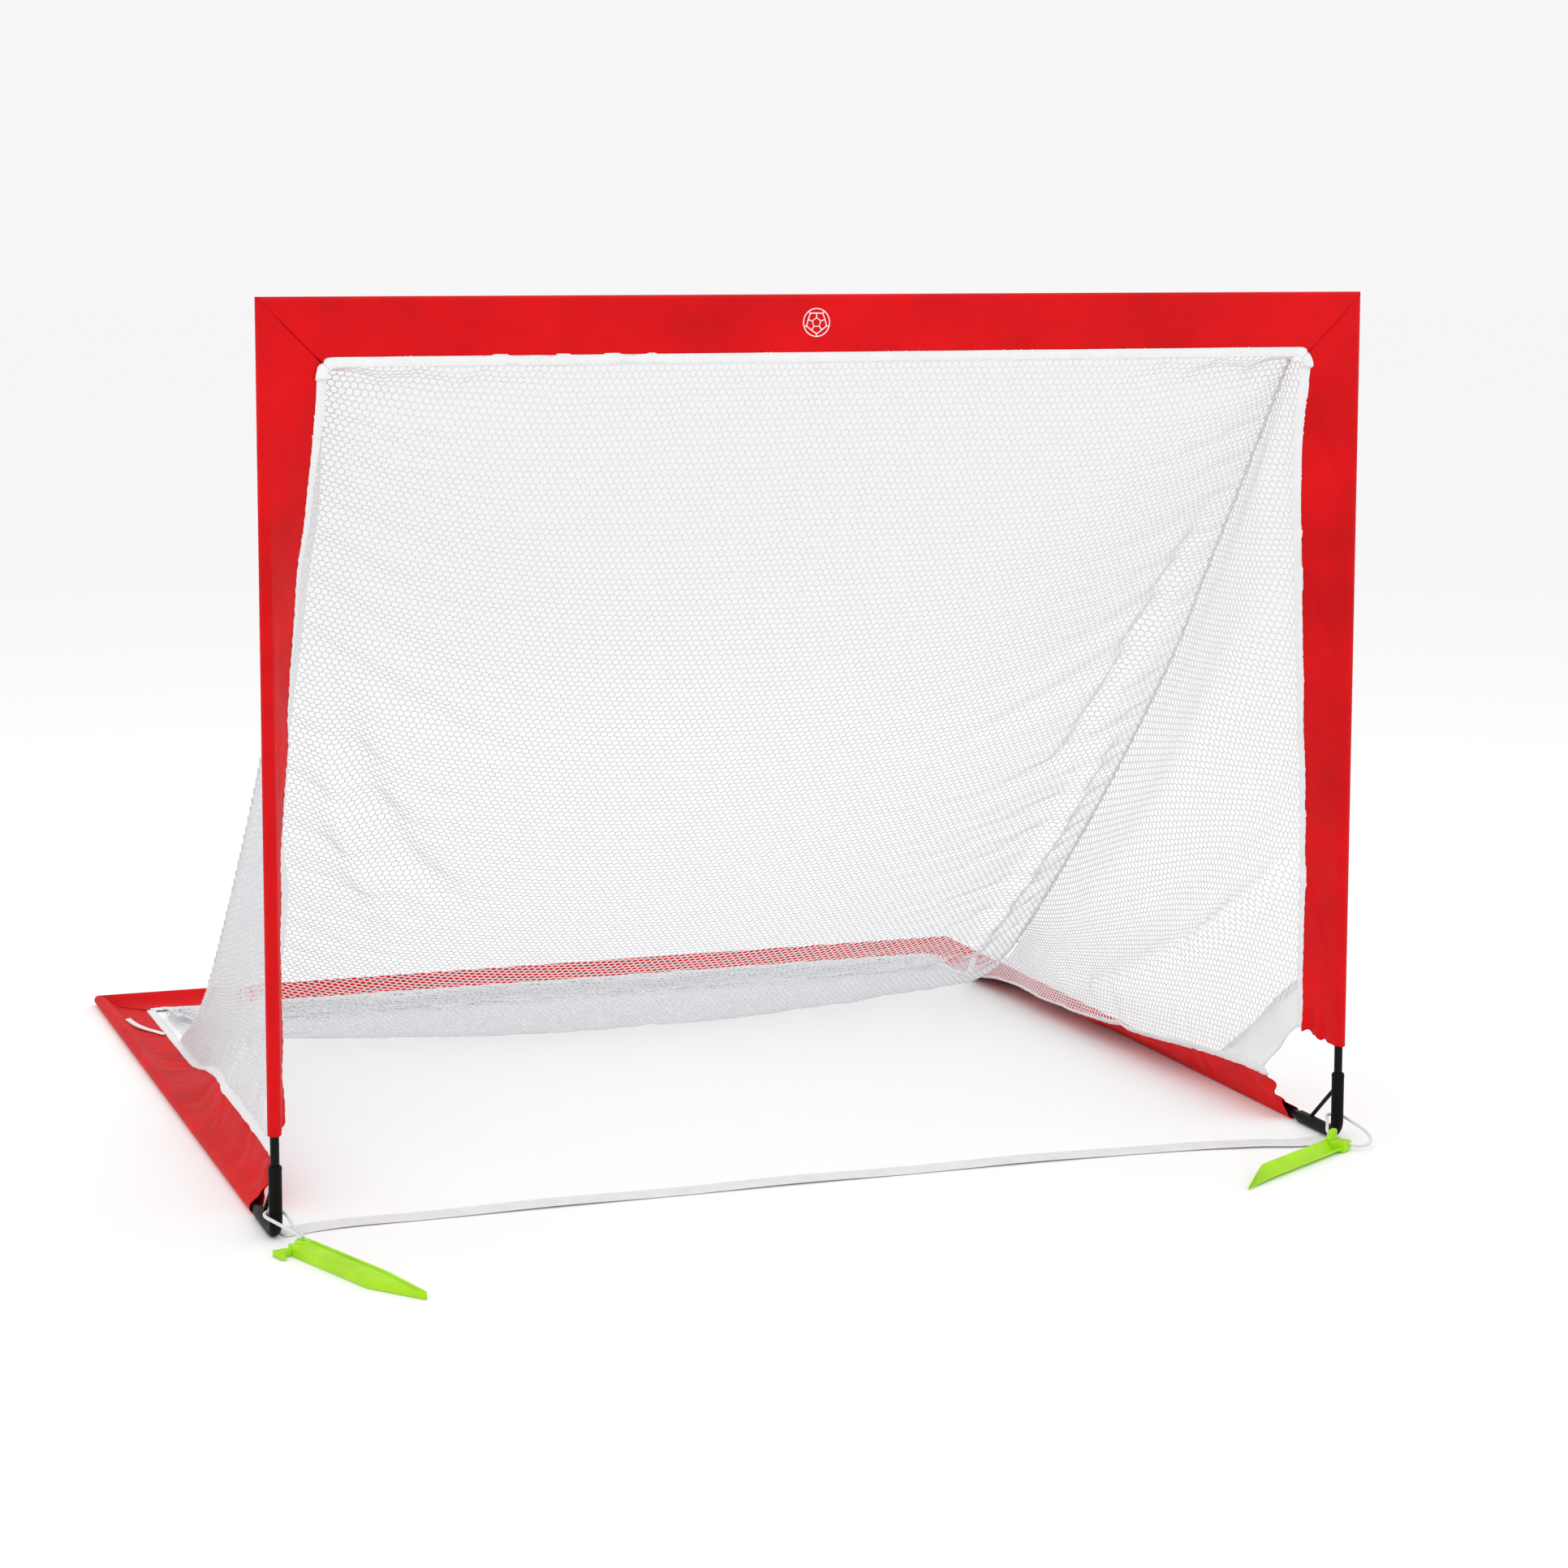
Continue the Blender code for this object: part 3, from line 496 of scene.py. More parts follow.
# The upright hook on the right stake: (along, up) points, what they are moved by, and its two sides
HOOK = ((0.0000, 0.0), (0.0040, 0.0045), (0.0012, 0.0095), (0.0030, 0.0130), (0.0090, 0.0122),
        (0.0150, 0.0075), (0.0190, 0.0030), (0.0180, 0.0))
HOOK_MOVE, HOOK_SIDES = (-0.002, 0.0100), (-0.0110, -0.0045)


def stake_axes(word):
    head, heading = STAKE_HEADS[word]
    angle = math.radians(heading) - math.pi / 2
    along = np.array((math.cos(angle), math.sin(angle), 0.0))
    return np.array((*head, 0.0)), along, np.array((-along[1], along[0], 0.0))


def placed(word, local):
    """Goal-line points from a stake's own (along, across, up) ones."""
    origin, along, over = stake_axes(word)
    local = np.asarray(local, float)
    return origin + local[:, :1] * along + local[:, 1:2] * over + local[:, 2:] * np.array(UP)


def block(outline, low, high, chamfer=0.0008):
    """A plan outline raised between two heights with softened edges, in a stake's own coordinates."""
    outline = np.asarray(outline, float)
    middle = outline.mean(axis=0)
    rings = []
    for z, inset in ((low, chamfer), (low + chamfer, 0), (high - chamfer, 0), (high, chamfer)):
        shrunk = outline + unit(middle - outline) * inset
        rings.append(np.column_stack([shrunk, np.full(len(outline), z)]))
    n = len(outline)
    faces = grid_faces(4, n, wrap=True) + [tuple(range(n))[::-1], tuple(3 * n + i for i in range(n))]
    return np.vstack(rings), faces, None


def blade(word):
    """The long channel of a stake, cut to a point by a bevel on one side."""
    section = np.array(STAKE_SECTIONS[word])
    stations = np.concatenate([[STAKE_START], np.linspace(STAKE_START + 0.004, STAKE_BEVEL, 12),
                               np.linspace(STAKE_BEVEL + 0.006, STAKE_LENGTH, 9)])
    rings = []
    for a in stations:
        t = np.clip((a - STAKE_BEVEL) / (STAKE_LENGTH - STAKE_BEVEL), 0, 1)
        low = -STAKE_EDGE + t * (2 * STAKE_EDGE - STAKE_TIP)
        share = (section[:, 0] + STAKE_EDGE) / (2 * STAKE_EDGE)
        across = np.maximum(section[:, 0], low + 0.6 * STAKE_TIP * share)
        keep = 1 - STAKE_THINNING[word] * t
        high = STAKE_UNDERSIDE + (section[:, 1] - STAKE_UNDERSIDE) * keep
        rings.append(np.column_stack([np.full(len(section), a), across, high]))
    n = len(section)
    faces = grid_faces(len(stations), n, wrap=True)
    faces += [tuple(range(n))[::-1], tuple((len(stations) - 1) * n + i for i in range(n))]
    return np.vstack(rings), faces, None


def ring_block(radius, wall, at, low, high, sides=20):
    """A round boss with a hole down through it."""
    a = np.linspace(0, 2 * math.pi, sides, endpoint=False)
    rows = []
    for r, z in ((radius, low), (radius, high - 0.001), (radius - 0.001, high), (wall + 0.0008, high),
                 (wall, high - 0.0008), (wall, low)):
        rows.append(np.column_stack([at[0] + r * np.cos(a), at[1] + r * np.sin(a), np.full(sides, z)]))
    rows.append(rows[0])
    return np.vstack(rows), grid_faces(len(rows), sides, wrap=True), None


def stake_parts(word):
    boss = ring_block(*STAKE_BOSSES[word])
    blocks = [block(*each) for each in STAKE_BLOCKS[word]]
    if word == "left":
        return [blade(word), boss, *blocks]
    points, faces, _ = block(HOOK, *HOOK_SIDES)
    points = np.column_stack([points[:, 0] + HOOK_MOVE[0], points[:, 2], points[:, 1] + HOOK_MOVE[1]])
    return [blade(word), *blocks, (points, faces, None), boss]


def stake(word):
    points, faces, _ = join([(placed(word, p), f, t) for p, f, t in stake_parts(word)])
    made = piece(f"{word}_stake_moulding", points, faces, LOOKS["lime"], sharp=32)
    bevel = made.modifiers.new("soft edges", "BEVEL")
    bevel.width, bevel.segments = 0.00035, 2
    bevel.limit_method, bevel.angle_limit = "ANGLE", math.radians(40)
    placed_in(made, f"{word}_stake", f"{word}_stake")


# The cords in goal-line metres: out of the stake, round the foot's upright socket and back
CORD_ROUTES = {
    "left": ((-0.5945, -0.0500, 0.0142), (-0.6010, -0.0400, 0.0190), (-0.6150, -0.0205, 0.0250),
             (-0.6215, -0.0040, 0.0270), (-0.6185, 0.0085, 0.0275), (-0.6100, 0.0122, 0.0272),
             (-0.6010, 0.0075, 0.0268), (-0.5985, -0.0060, 0.0250), (-0.5950, -0.0240, 0.0170),
             (-0.5925, -0.0390, 0.0158), (-0.5915, -0.0470, 0.0144)),
    "right": ((0.5975, -0.0440, 0.0090), (0.6070, -0.0500, 0.0060), (0.6200, -0.0520, 0.0070),
              (0.6300, -0.0420, 0.0100), (0.6320, -0.0250, 0.0150), (0.6250, -0.0040, 0.0220),
              (0.6190, 0.0080, 0.0262), (0.6100, 0.0122, 0.0272), (0.6010, 0.0080, 0.0268),
              (0.5960, -0.0030, 0.0230), (0.5900, -0.0140, 0.0160), (0.5895, -0.0250, 0.0140),
              (0.5925, -0.0330, 0.0138)),
}
CORD_RADIUS = 0.00175


def stake_cords():
    for side, word in SIDES:
        stake(word)
        line = curve_through(CORD_ROUTES[word], 90)
        points, faces, uv = swept(line, round_section(CORD_RADIUS), UP)
        made = piece(f"{word}_tether", points, faces, LOOKS["cord"], uv)
        placed_in(made, f"{word}_stake_cord", f"{word}_stake")


STRAP_ROUTE = ((-0.6026, 0.020), (-0.540, 0.033), (-0.390, 0.035), (0.0, 0.036), (0.360, 0.030),
               (0.500, 0.012), (0.560, -0.003), (0.6026, 0.006))
STRAP_HALF_WIDTH, STRAP_HALF_THICKNESS = 0.015, 0.0008


def ground_strap():
    line = curve_through([(x, y, 0.0) for x, y in STRAP_ROUTE], 260)
    run = np.linspace(0, length_of(line), len(line))
    line[:, 2] = 0.0012 + 0.0007 * (1 + np.sin(run * 23.0 + 1.0)) * ease(run, 0.02, 0.10)
    points, faces, uv = swept(line, soft_bar(STRAP_HALF_WIDTH, STRAP_HALF_THICKNESS), UP)
    made = piece("strap_webbing", points, faces, LOOKS["webbing"], uv)
    placed_in(made, "ground_strap", "base")


# ---------------------------------------------------------------- sleeves and bindings


class Run:
    """A straight pole run: where its sleeve's (along, inward, upward) coordinates lie in space."""

    def __init__(self, start, end, inward, up, twist=None, mitres=(False, False)):
        self.start = np.array(start, float)
        self.length = float(np.linalg.norm(np.subtract(end, start)))
        self.along = unit(np.subtract(end, start))
        self.inward, self.up = np.array(inward, float), np.array(up, float)
        self.twist, self.mitres = twist, mitres

    def axes(self, s):
        angle = np.radians(eased_table(self.twist, s)) if self.twist else np.zeros_like(s)
        cos, sin = np.cos(angle)[..., None], np.sin(angle)[..., None]
        return cos * self.inward + sin * self.up, cos * self.up - sin * self.inward

    def place(self, s, u, v):
        """Space points from arrays of along, inward and upward distances."""
        s = np.asarray(s, float)
        inward, up = self.axes(s)
        return self.start + s[..., None] * self.along + u[..., None] * inward + v[..., None] * up


def upright_run(side):
    x = side * HALF_WIDTH
    return Run((x, 0, 0), (x, 0, TOP_Z), (-side, 0, 0), (0, 1, 0), UPRIGHT_TWIST, (False, True))


def base_run(side):
    x = side * HALF_WIDTH
    twist = LEFT_BASE_TWIST if side == LEFT else RIGHT_BASE_TWIST
    return Run((x, 0, BASE_Z), (x, REAR_Y, BASE_Z), (-side, 0, 0), UP, twist, (False, True))


RUNS = {
    "crossbar": Run((-HALF_WIDTH, 0, TOP_Z), (HALF_WIDTH, 0, TOP_Z), (0, 0, -1), (0, 1, 0), None,
                    (True, True)),
    "left_upright": upright_run(LEFT),
    "right_upright": upright_run(RIGHT),
    "left_base": base_run(LEFT),
    "right_base": base_run(RIGHT),
    "rear_base": Run((-HALF_WIDTH, REAR_Y, BASE_Z), (HALF_WIDTH, REAR_Y, BASE_Z), (0, -1, 0), UP, None,
                     (True, True)),
}


def sleeve_section():
    """Closed (inward, upward) outline: front layer, round the pole, and the back layer down to the fin."""
    front = [(u, -CHANNEL) for u in np.linspace(REACH, 0.0, 26)]
    angles = np.radians(np.linspace(-100, -305, 22))
    around = [(CHANNEL * math.cos(a), CHANNEL * math.sin(a)) for a in angles]
    level = FIN_THICKNESS - CHANNEL
    slope = [(0.0075, 0.0035), (0.0110, 0.0004), (0.0150, -0.0026), (0.0195, -0.0047), (0.0240, -0.0058)]
    back = [(u, level) for u in np.linspace(0.0285, REACH, 12)]
    return np.array(front + around + slope + back)


class Creases:
    """A height field over a sleeve: slanting folds, broad waves and puckers along the seam."""

    def __init__(self, length, count, height, seed, slant=0.9, waves=0.0008, flat=(), corners=()):
        rng = np.random.default_rng(seed)
        self.corners = corners
        self.at = rng.uniform(0, length, count)
        self.slant = rng.uniform(-slant, slant, count)
        self.width = rng.uniform(0.004, 0.013, count)
        self.height = rng.uniform(0.3, 1.0, count) * height * np.where(rng.random(count) < 0.35, -1, 1)
        self.phase = rng.uniform(0, 6.28, 6)
        self.waves, self.flat = waves, flat
        self.extra = []

    def add(self, at, slant, width, height):
        self.extra.append((at, slant, width, height))
        return self

    def __call__(self, s, u):
        f = np.zeros_like(s)
        folds = list(zip(self.at, self.slant, self.width, self.height)) + self.extra
        for at, slant, width, height in folds:
            f += height * np.exp(-((s - at - slant * (u - 0.03)) / width) ** 2 / 2)
        p = self.phase
        f += self.waves * (np.sin(21 * s + p[0]) + 0.6 * np.sin(47 * s + 60 * u + p[1])
                           + 0.4 * np.sin(83 * s + p[2]))
        pucker = ease(u, 0.036, 0.052)
        f += 0.00035 * pucker * (np.sin(s * 610 + p[3]) + 0.7 * np.sin(s * 370 + p[4]))
        for low, high in self.flat:
            f *= 1 - ease(s, low - 0.03, low) * (1 - ease(s, high, high + 0.03))
        for corner in self.corners:
            f *= 1 - ease(u, 0.030, 0.050) * (1 - ease(np.abs(s - corner), 0.080, 0.130))
        return f * ease(u, 0.004, 0.020)


def off_ground(run, s, height):
    """Turns dips into rises where a base run's cloth lies flat."""
    if run.start[2] > 0.1 or abs(run.along[2]) > 0.5:
        return height
    angle = eased_table(run.twist, s) if run.twist else np.zeros_like(s)
    flat = 1 - ease(angle, 8.0, 30.0)
    return height + flat * (np.abs(height) * 0.6 - height)


def corner_reach(distance):
    """How much further in the cloth reaches near a rounded inner corner, this far from its mitre."""
    r = CORNER_ROUND
    d = np.clip(r * math.sqrt(0.5) - distance, 0, r * math.sqrt(0.5))
    return r - np.sqrt(r * r - d * d)


HEM_SLANT = 0.16
HEM_RUFFLE, HEM_REACH = 0.0032, 0.055
SLEEVE_STEP = 0.0036
CLOTH_THICKNESS = 0.00035


def ruffle(along, across, hem):
    """Height of the ruffles that fade out away from a hem."""
    near = 1 - ease(along, hem, hem + HEM_REACH)
    return HEM_RUFFLE * near * np.sin(across * 260 + along * 30)


def sleeve(word, body, folds, hem=None, rounded=(False, False), lift=0.0):
    """The red sleeve of a run as double-walled cloth, ruffled where it ends in a hem."""
    run = RUNS[word]
    first = hem if hem is not None else 0.0
    count = int((run.length - first) / SLEEVE_STEP)
    s = np.linspace(first, run.length, count)
    section = sleeve_section()
    u = np.broadcast_to(section[None, :, 0], (count, len(section))).copy()
    v = np.broadcast_to(section[None, :, 1], (count, len(section))).copy()
    extra = np.zeros(count)
    t = (s - s[0]) / (s[-1] - s[0])
    edge_length = run.length - first - REACH * sum(run.mitres)
    if rounded[0]:
        extra += corner_reach(t * edge_length)
    if rounded[1]:
        extra += corner_reach((1 - t) * edge_length)
    share = ease(u, 0.015, REACH)
    u += extra[:, None] * share
    start = first + (u if run.mitres[0] else 0.0)
    end = run.length - (u if run.mitres[1] else 0.0)
    if hem is not None:
        start = start + HEM_SLANT * (u - 0.01) + 0.0022 * np.sin(u * 420 + 1.3) * ease(u, 0.004, 0.02)
    along = start + t[:, None] * (end - start)
    height = off_ground(run, along, folds(along, np.maximum(u, 0)))
    if hem is not None:
        height = height + ruffle(along, u, hem) * ease(u, 0.006, 0.03)
    if lift:
        height = np.abs(height) + lift * ease(u, 0.01, 0.03)
    skins = []
    for inset in (0.0, CLOTH_THICKNESS):
        middle_v = np.interp(u, [0.0, 0.010, 0.024, 0.08], [0.0, -0.0033, -0.0066, -0.0066])
        outline = np.stack([u, v], axis=-1)
        if inset:
            centre = np.stack([np.clip(u, 0.0, REACH - 0.001), middle_v], axis=-1)
            outline = outline + unit(centre - outline) * inset
        skins.append(run.place(along, outline[..., 0], outline[..., 1] + height))
    n, m = count, len(section)
    points = np.vstack([skins[0].reshape(-1, 3), skins[1].reshape(-1, 3)])
    above_floor(points)
    faces = grid_faces(n, m, wrap=True)
    faces += [f[::-1] for f in grid_faces(n, m, wrap=True, offset=n * m)]
    for row in (0, n - 1):
        for j in range(m):
            k = (j + 1) % m
            face = (row * m + j, row * m + k, n * m + row * m + k, n * m + row * m + j)
            faces.append(face if row else face[::-1])
    uv = np.stack([along, np.broadcast_to(distances(section), along.shape)], axis=-1).reshape(-1, 2)
    made = piece(f"{word}_cover", points, faces, LOOKS["red"], np.vstack([uv, uv]))
    placed_in(made, f"{word}_sleeve", body)


def corner_arc(centre, across, down, radius, first, last, count=10):
    """Points on a corner's arc from one angle to another, measured from across towards down."""
    a = np.radians(np.linspace(first, last, count))
    return centre + radius * (np.cos(a)[:, None] * across + np.sin(a)[:, None] * down)


TAPE_RADIUS = CORNER_ROUND - 0.0045
TAPE_LEVEL = TAPE_HALF_THICKNESS - CHANNEL


def tape_line(word, folds, lift=0.0, hem=None, rounded=(False, False)):
    """Middle of a binding and the sheet's normal along it."""
    run = RUNS[word]
    straight = TAPE_MIDDLE + TAPE_RADIUS
    low = straight if rounded[0] else TAPE_MIDDLE
    if hem is not None:
        low = hem + HEM_SLANT * (TAPE_MIDDLE - 0.01)
    high = run.length - (straight if rounded[1] else TAPE_MIDDLE)
    s = np.linspace(low, high, int((high - low) / 0.004))
    height = off_ground(run, s, folds(s, np.full_like(s, TAPE_MIDDLE)))
    if hem is not None:
        height = height + ruffle(s, TAPE_MIDDLE, hem)
    if lift:
        height = np.abs(height) + lift
    line = run.place(s, np.full_like(s, TAPE_MIDDLE), TAPE_LEVEL + height)
    return line, run.axes(s)[1], run


def binding(word, body, folds, lift=0.0, hem=None, rounded=(False, False)):
    line, normal, run = tape_line(word, folds, lift, hem, rounded)
    middle = TAPE_MIDDLE + TAPE_RADIUS
    for end in (0, 1):
        if not rounded[end]:
            continue
        place = middle if end == 0 else run.length - middle
        centre = run.start + place * run.along + middle * run.inward + TAPE_LEVEL * run.up
        away = -run.along if end == 0 else run.along
        arc = corner_arc(centre, -run.inward, away, TAPE_RADIUS, 4, 45)
        up = np.broadcast_to(run.up, arc.shape)
        if end == 0:
            line, normal = np.vstack([arc[::-1], line]), np.vstack([up, normal])
        else:
            line, normal = np.vstack([line, arc]), np.vstack([normal, up])
    points, faces, uv = swept(line, soft_bar(TAPE_HALF_WIDTH, TAPE_HALF_THICKNESS), normal)
    above_floor(points)
    made = piece(f"{word}_tape", points, faces, LOOKS["tape"], uv)
    placed_in(made, f"{word}_binding", body)
    points, faces = stitches(line, normal, (SEAM_INSET, -SEAM_INSET) if body == "portal" else (SEAM_INSET,))
    thread = piece(f"{word}_tape_stitches", points, faces, LOOKS["thread"])
    placed_in(thread, body=body)


SEAM_INSET = 0.0032
STITCH_PITCH, STITCH_LENGTH, STITCH_WIDTH, STITCH_HEIGHT = 0.0034, 0.0024, 0.0009, 0.0004
# One stitch as (along, across, up) points, in shares of those sizes
STITCH = ((-0.5, 0, -0.2), (-0.2, 0.5, 1), (0.2, 0.5, 1), (0.5, 0, -0.2), (0.2, -0.5, 1), (-0.2, -0.5, 1))


def stitches(line, normal, offsets):
    """Short raised threads on both faces of a band."""
    count = int(length_of(line) / STITCH_PITCH)
    line_at = evenly(line, count)
    normal_at = unit(evenly_like(line, normal, count))
    tangent, side, up = frames_along(line_at, normal_at)
    parts = []
    shape = np.array(STITCH)
    faces = [(0, 1, 5), (1, 2, 4, 5), (2, 3, 4)]
    for offset in offsets:
        for face in (1, -1):
            centre = line_at + offset * side + face * (TAPE_HALF_THICKNESS * 0.86) * up
            p = (centre[:, None] + STITCH_LENGTH * shape[None, :, :1] * tangent[:, None]
                 + STITCH_WIDTH * shape[None, :, 1:2] * side[:, None]
                 + face * STITCH_HEIGHT * shape[None, :, 2:] * up[:, None])
            f = [tuple(6 * k + i for i in (q if face > 0 else q[::-1])) for k in range(count) for q in faces]
            parts.append((p.reshape(-1, 3), f, None))
    points, faces, _ = join(parts)
    above_floor(points, 0.0002)
    return points, faces


MARK_AT = 0.5837
# Each sleeve's body, creases, hem, rounded ends and lift off the ground
SLEEVES = {
    "crossbar": ("portal", Creases(1.22, 9, 0.0012, 3, flat=((MARK_AT - 0.03, MARK_AT + 0.03),),
                                   corners=(0.0, 1.22))
                 .add(0.065, 0.7, 0.006, 0.0026).add(0.13, -1.1, 0.010, -0.0022)
                 .add(0.22, 1.3, 0.008, 0.0030).add(0.27, 1.2, 0.006, -0.0026)
                 .add(0.335, 1.5, 0.009, 0.0028).add(0.39, 0.8, 0.007, 0.0016),
                 None, (True, True), 0.0),
    "left_upright": ("portal", Creases(0.95, 7, 0.0012, 11, slant=1.6, corners=(TOP_Z,)),
                     UPRIGHT_HEM, (False, True), 0.0),
    "right_upright": ("portal", Creases(0.95, 8, 0.0018, 19, slant=2.4, corners=(TOP_Z,))
                      .add(0.80, 2.6, 0.008, 0.0026).add(0.70, -2.0, 0.010, -0.0026)
                      .add(0.60, 2.2, 0.009, 0.0020),
                      UPRIGHT_HEM, (False, True), 0.0),
    "left_base": ("base", Creases(1.15, 12, 0.0024, 23, slant=1.2, waves=0.0010),
                  BASE_HEM, (False, False), 0.0),
    "right_base": ("base", Creases(1.15, 12, 0.0022, 29, slant=1.2, waves=0.0010),
                   BASE_HEM, (False, False), 0.0),
    "rear_base": ("base", Creases(1.22, 14, 0.0020, 31, slant=1.4, waves=0.0006),
                  None, (False, False), 0.0006),
}


def covers():
    for word, (body, folds, hem, rounded, lift) in SLEEVES.items():
        sleeve(word, body, folds, hem, rounded, lift)
        binding(word, body, folds, lift, hem, rounded)


# ---------------------------------------------------------------- net bag


def binding_edge(word, s, inset=0.0015):
    """The binding's free edge at distances along a run."""
    run = RUNS[word]
    s = np.asarray(s, float)
    reach = np.full_like(s, TAPE_MIDDLE + TAPE_HALF_WIDTH - inset)
    _, folds, _, _, lift = SLEEVES[word]
    height = off_ground(run, s, folds(s, np.full_like(s, TAPE_MIDDLE))) + lift
    return run.place(s, reach, TAPE_LEVEL + height)


def seam_line(side, count=200):
    profile = [(side * (SEAM_X + 0.0005 * (1 - k / 8)), y, z) for k, (y, z) in enumerate(SEAM_PROFILE)]
    return curve_through(profile, count)


def back_start():
    """Rows of the back net before it settles: down the slope and then back along the ground."""
    side = seam_line(RIGHT, 400)[:, 1:]
    top = np.array([(-0.0064, NET_TOP)])
    profile = evenly(np.vstack([top, side, GROUND_FOLD]), NET_ROWS)
    x = np.linspace(-SEAM_X, SEAM_X, NET_COLUMNS)
    sag = NET_SAG * np.sin(math.pi * np.clip(np.arange(NET_ROWS) / 110, 0, 1))
    across = np.sin(math.pi * (x + SEAM_X) / (2 * SEAM_X)) ** 0.7
    grid = np.zeros((NET_ROWS, NET_COLUMNS, 3))
    grid[..., 0] = x
    grid[..., 1] = profile[:, :1] + 0.3 * sag[:, None] * across
    grid[..., 2] = np.maximum(profile[:, 1:] - sag[:, None] * across, 0.0030)
    return grid


def settle(grid, pinned):
    """Lets a net panel fall under its own weight onto the ground, held along its sewn edges."""
    rows, columns = grid.shape[:2]
    cloth = piece("settling net", grid.reshape(-1, 3), grid_faces(rows, columns), LOOKS["net"])
    group = cloth.vertex_groups.new(name="sewn")
    group.add([int(i) for i in np.flatnonzero(pinned.ravel())], 1.0, "REPLACE")
    ground = piece("settling ground", square(2), [(0, 1, 2, 3)], LOOKS["net"])
    ground.modifiers.new("floor", "COLLISION")
    ground.collision.thickness_outer = 0.002
    ground.collision.cloth_friction = 20
    modifier = cloth.modifiers.new("net", "CLOTH")
    settings = modifier.settings
    settings.quality, settings.mass, settings.vertex_group_mass = 6, 0.04, "sewn"
    settings.tension_stiffness = settings.compression_stiffness = 12
    settings.shear_stiffness, settings.bending_stiffness = 4, 0.02
    settings.shrink_min, settings.air_damping = -NET_SLACK, 2.0
    modifier.collision_settings.distance_min = 0.002
    modifier.collision_settings.use_self_collision = False
    modifier.point_cache.frame_end = SETTLING_FRAMES
    scene = bpy.context.scene
    for number in range(1, SETTLING_FRAMES + 1):
        scene.frame_set(number)
    shaped = cloth.evaluated_get(bpy.context.evaluated_depsgraph_get()).to_mesh()
    points = np.zeros(len(shaped.vertices) * 3)
    shaped.vertices.foreach_get("co", points)
    scene.frame_set(1)
    for item in (cloth, ground):
        bpy.data.objects.remove(item)
    return points.reshape(rows, columns, 3) - SHIFT


def bilinear(grid, r, c):
    """Reads a grid of points at fractional rows and columns."""
    rows, columns = grid.shape[:2]
    r, c = np.clip(r, 0, rows - 1.001), np.clip(c, 0, columns - 1.001)
    i, j = r.astype(int), c.astype(int)
    a, b = (r - i)[..., None], (c - j)[..., None]
    return ((1 - a) * (1 - b) * grid[i, j] + (1 - a) * b * grid[i, j + 1]
            + a * (1 - b) * grid[i + 1, j] + a * b * grid[i + 1, j + 1])


def hexagons(low, high):
    """Ends of every strand of a hexagonal net over a rectangle, as two arrays of flat points."""
    columns = int((high[0] - low[0]) / HOLE) + 2
    rows = int((high[1] - low[1]) / ROW) + 2
    j, i = np.meshgrid(np.arange(rows), np.arange(columns), indexing="ij")
    x = low[0] + HOLE * (i + 0.5 * (j % 2))
    y = low[1] + ROW * j
    side = HOLE / math.sqrt(3)
    top, shoulder = np.stack([x, y + side], -1), np.stack([x + HOLE / 2, y + side / 2], -1)
    left, foot = np.stack([x - HOLE / 2, y + side / 2], -1), np.stack([x + HOLE / 2, y - side / 2], -1)
    starts = np.concatenate([a.reshape(-1, 2) for a in (top, top, shoulder)])
    ends = np.concatenate([a.reshape(-1, 2) for a in (shoulder, left, foot)])
    return starts, ends


def strands(name, starts, ends, normals):
    """Every strand as a three-sided prism, in one mesh."""
    along = unit(ends - starts)
    side = unit(np.cross(along, normals))
    up = np.cross(side, along)
    starts, ends = starts - along * STRAND_RADIUS * 0.5, ends + along * STRAND_RADIUS * 0.5
    corners = []
    for end in (starts, ends):
        for angle in (90, 210, 330):
            a = math.radians(angle)
            corners.append(end + STRAND_RADIUS * (math.cos(a) * side * 1.25 + math.sin(a) * up))
    points = np.stack(corners, axis=1)
    above_floor(points, 0.0004)
    points = (points + SHIFT).reshape(-1, 3).astype(np.float32)
    count = len(starts)
    quads = np.array([(0, 1, 4, 3), (1, 2, 5, 4), (2, 0, 3, 5)])
    loops = (quads[None] + 6 * np.arange(count)[:, None, None]).reshape(-1).astype(np.int32)
    mesh = bpy.data.meshes.new(name)
    mesh.vertices.add(len(points))
    mesh.vertices.foreach_set("co", points.ravel())
    mesh.loops.add(len(loops))
    mesh.loops.foreach_set("vertex_index", loops)
    mesh.polygons.add(len(loops) // 4)
    mesh.polygons.foreach_set("loop_start", np.arange(0, len(loops), 4, dtype=np.int32))
    mesh.polygons.foreach_set("use_smooth", np.ones(len(loops) // 4, bool))
    mesh.update(calc_edges=True)
    mesh.materials.append(LOOKS["net"])
    made = bpy.data.objects.new(name, mesh)
    bpy.context.scene.collection.objects.link(made)
    bend(made)
    return made


def bend(made):
    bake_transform(made)


BACK_FOLDS = (
    # lines of (across, down) on the net, with the half width and how far out each stands
    (((0.500, 0.25), (0.487, 0.36), (0.468, 0.45), (0.447, 0.535), (0.430, 0.61)), 0.013, 0.017),
    (((0.490, 0.60), (0.480, 0.74), (0.465, 0.88), (0.450, 1.04)), 0.012, -0.014),
    (((-0.474, 0.446), (-0.426, 0.583), (-0.361, 0.704), (-0.288, 0.788)), 0.014, 0.015),
    (((-0.477, 0.543), (-0.434, 0.688), (-0.372, 0.820)), 0.012, -0.012),
)


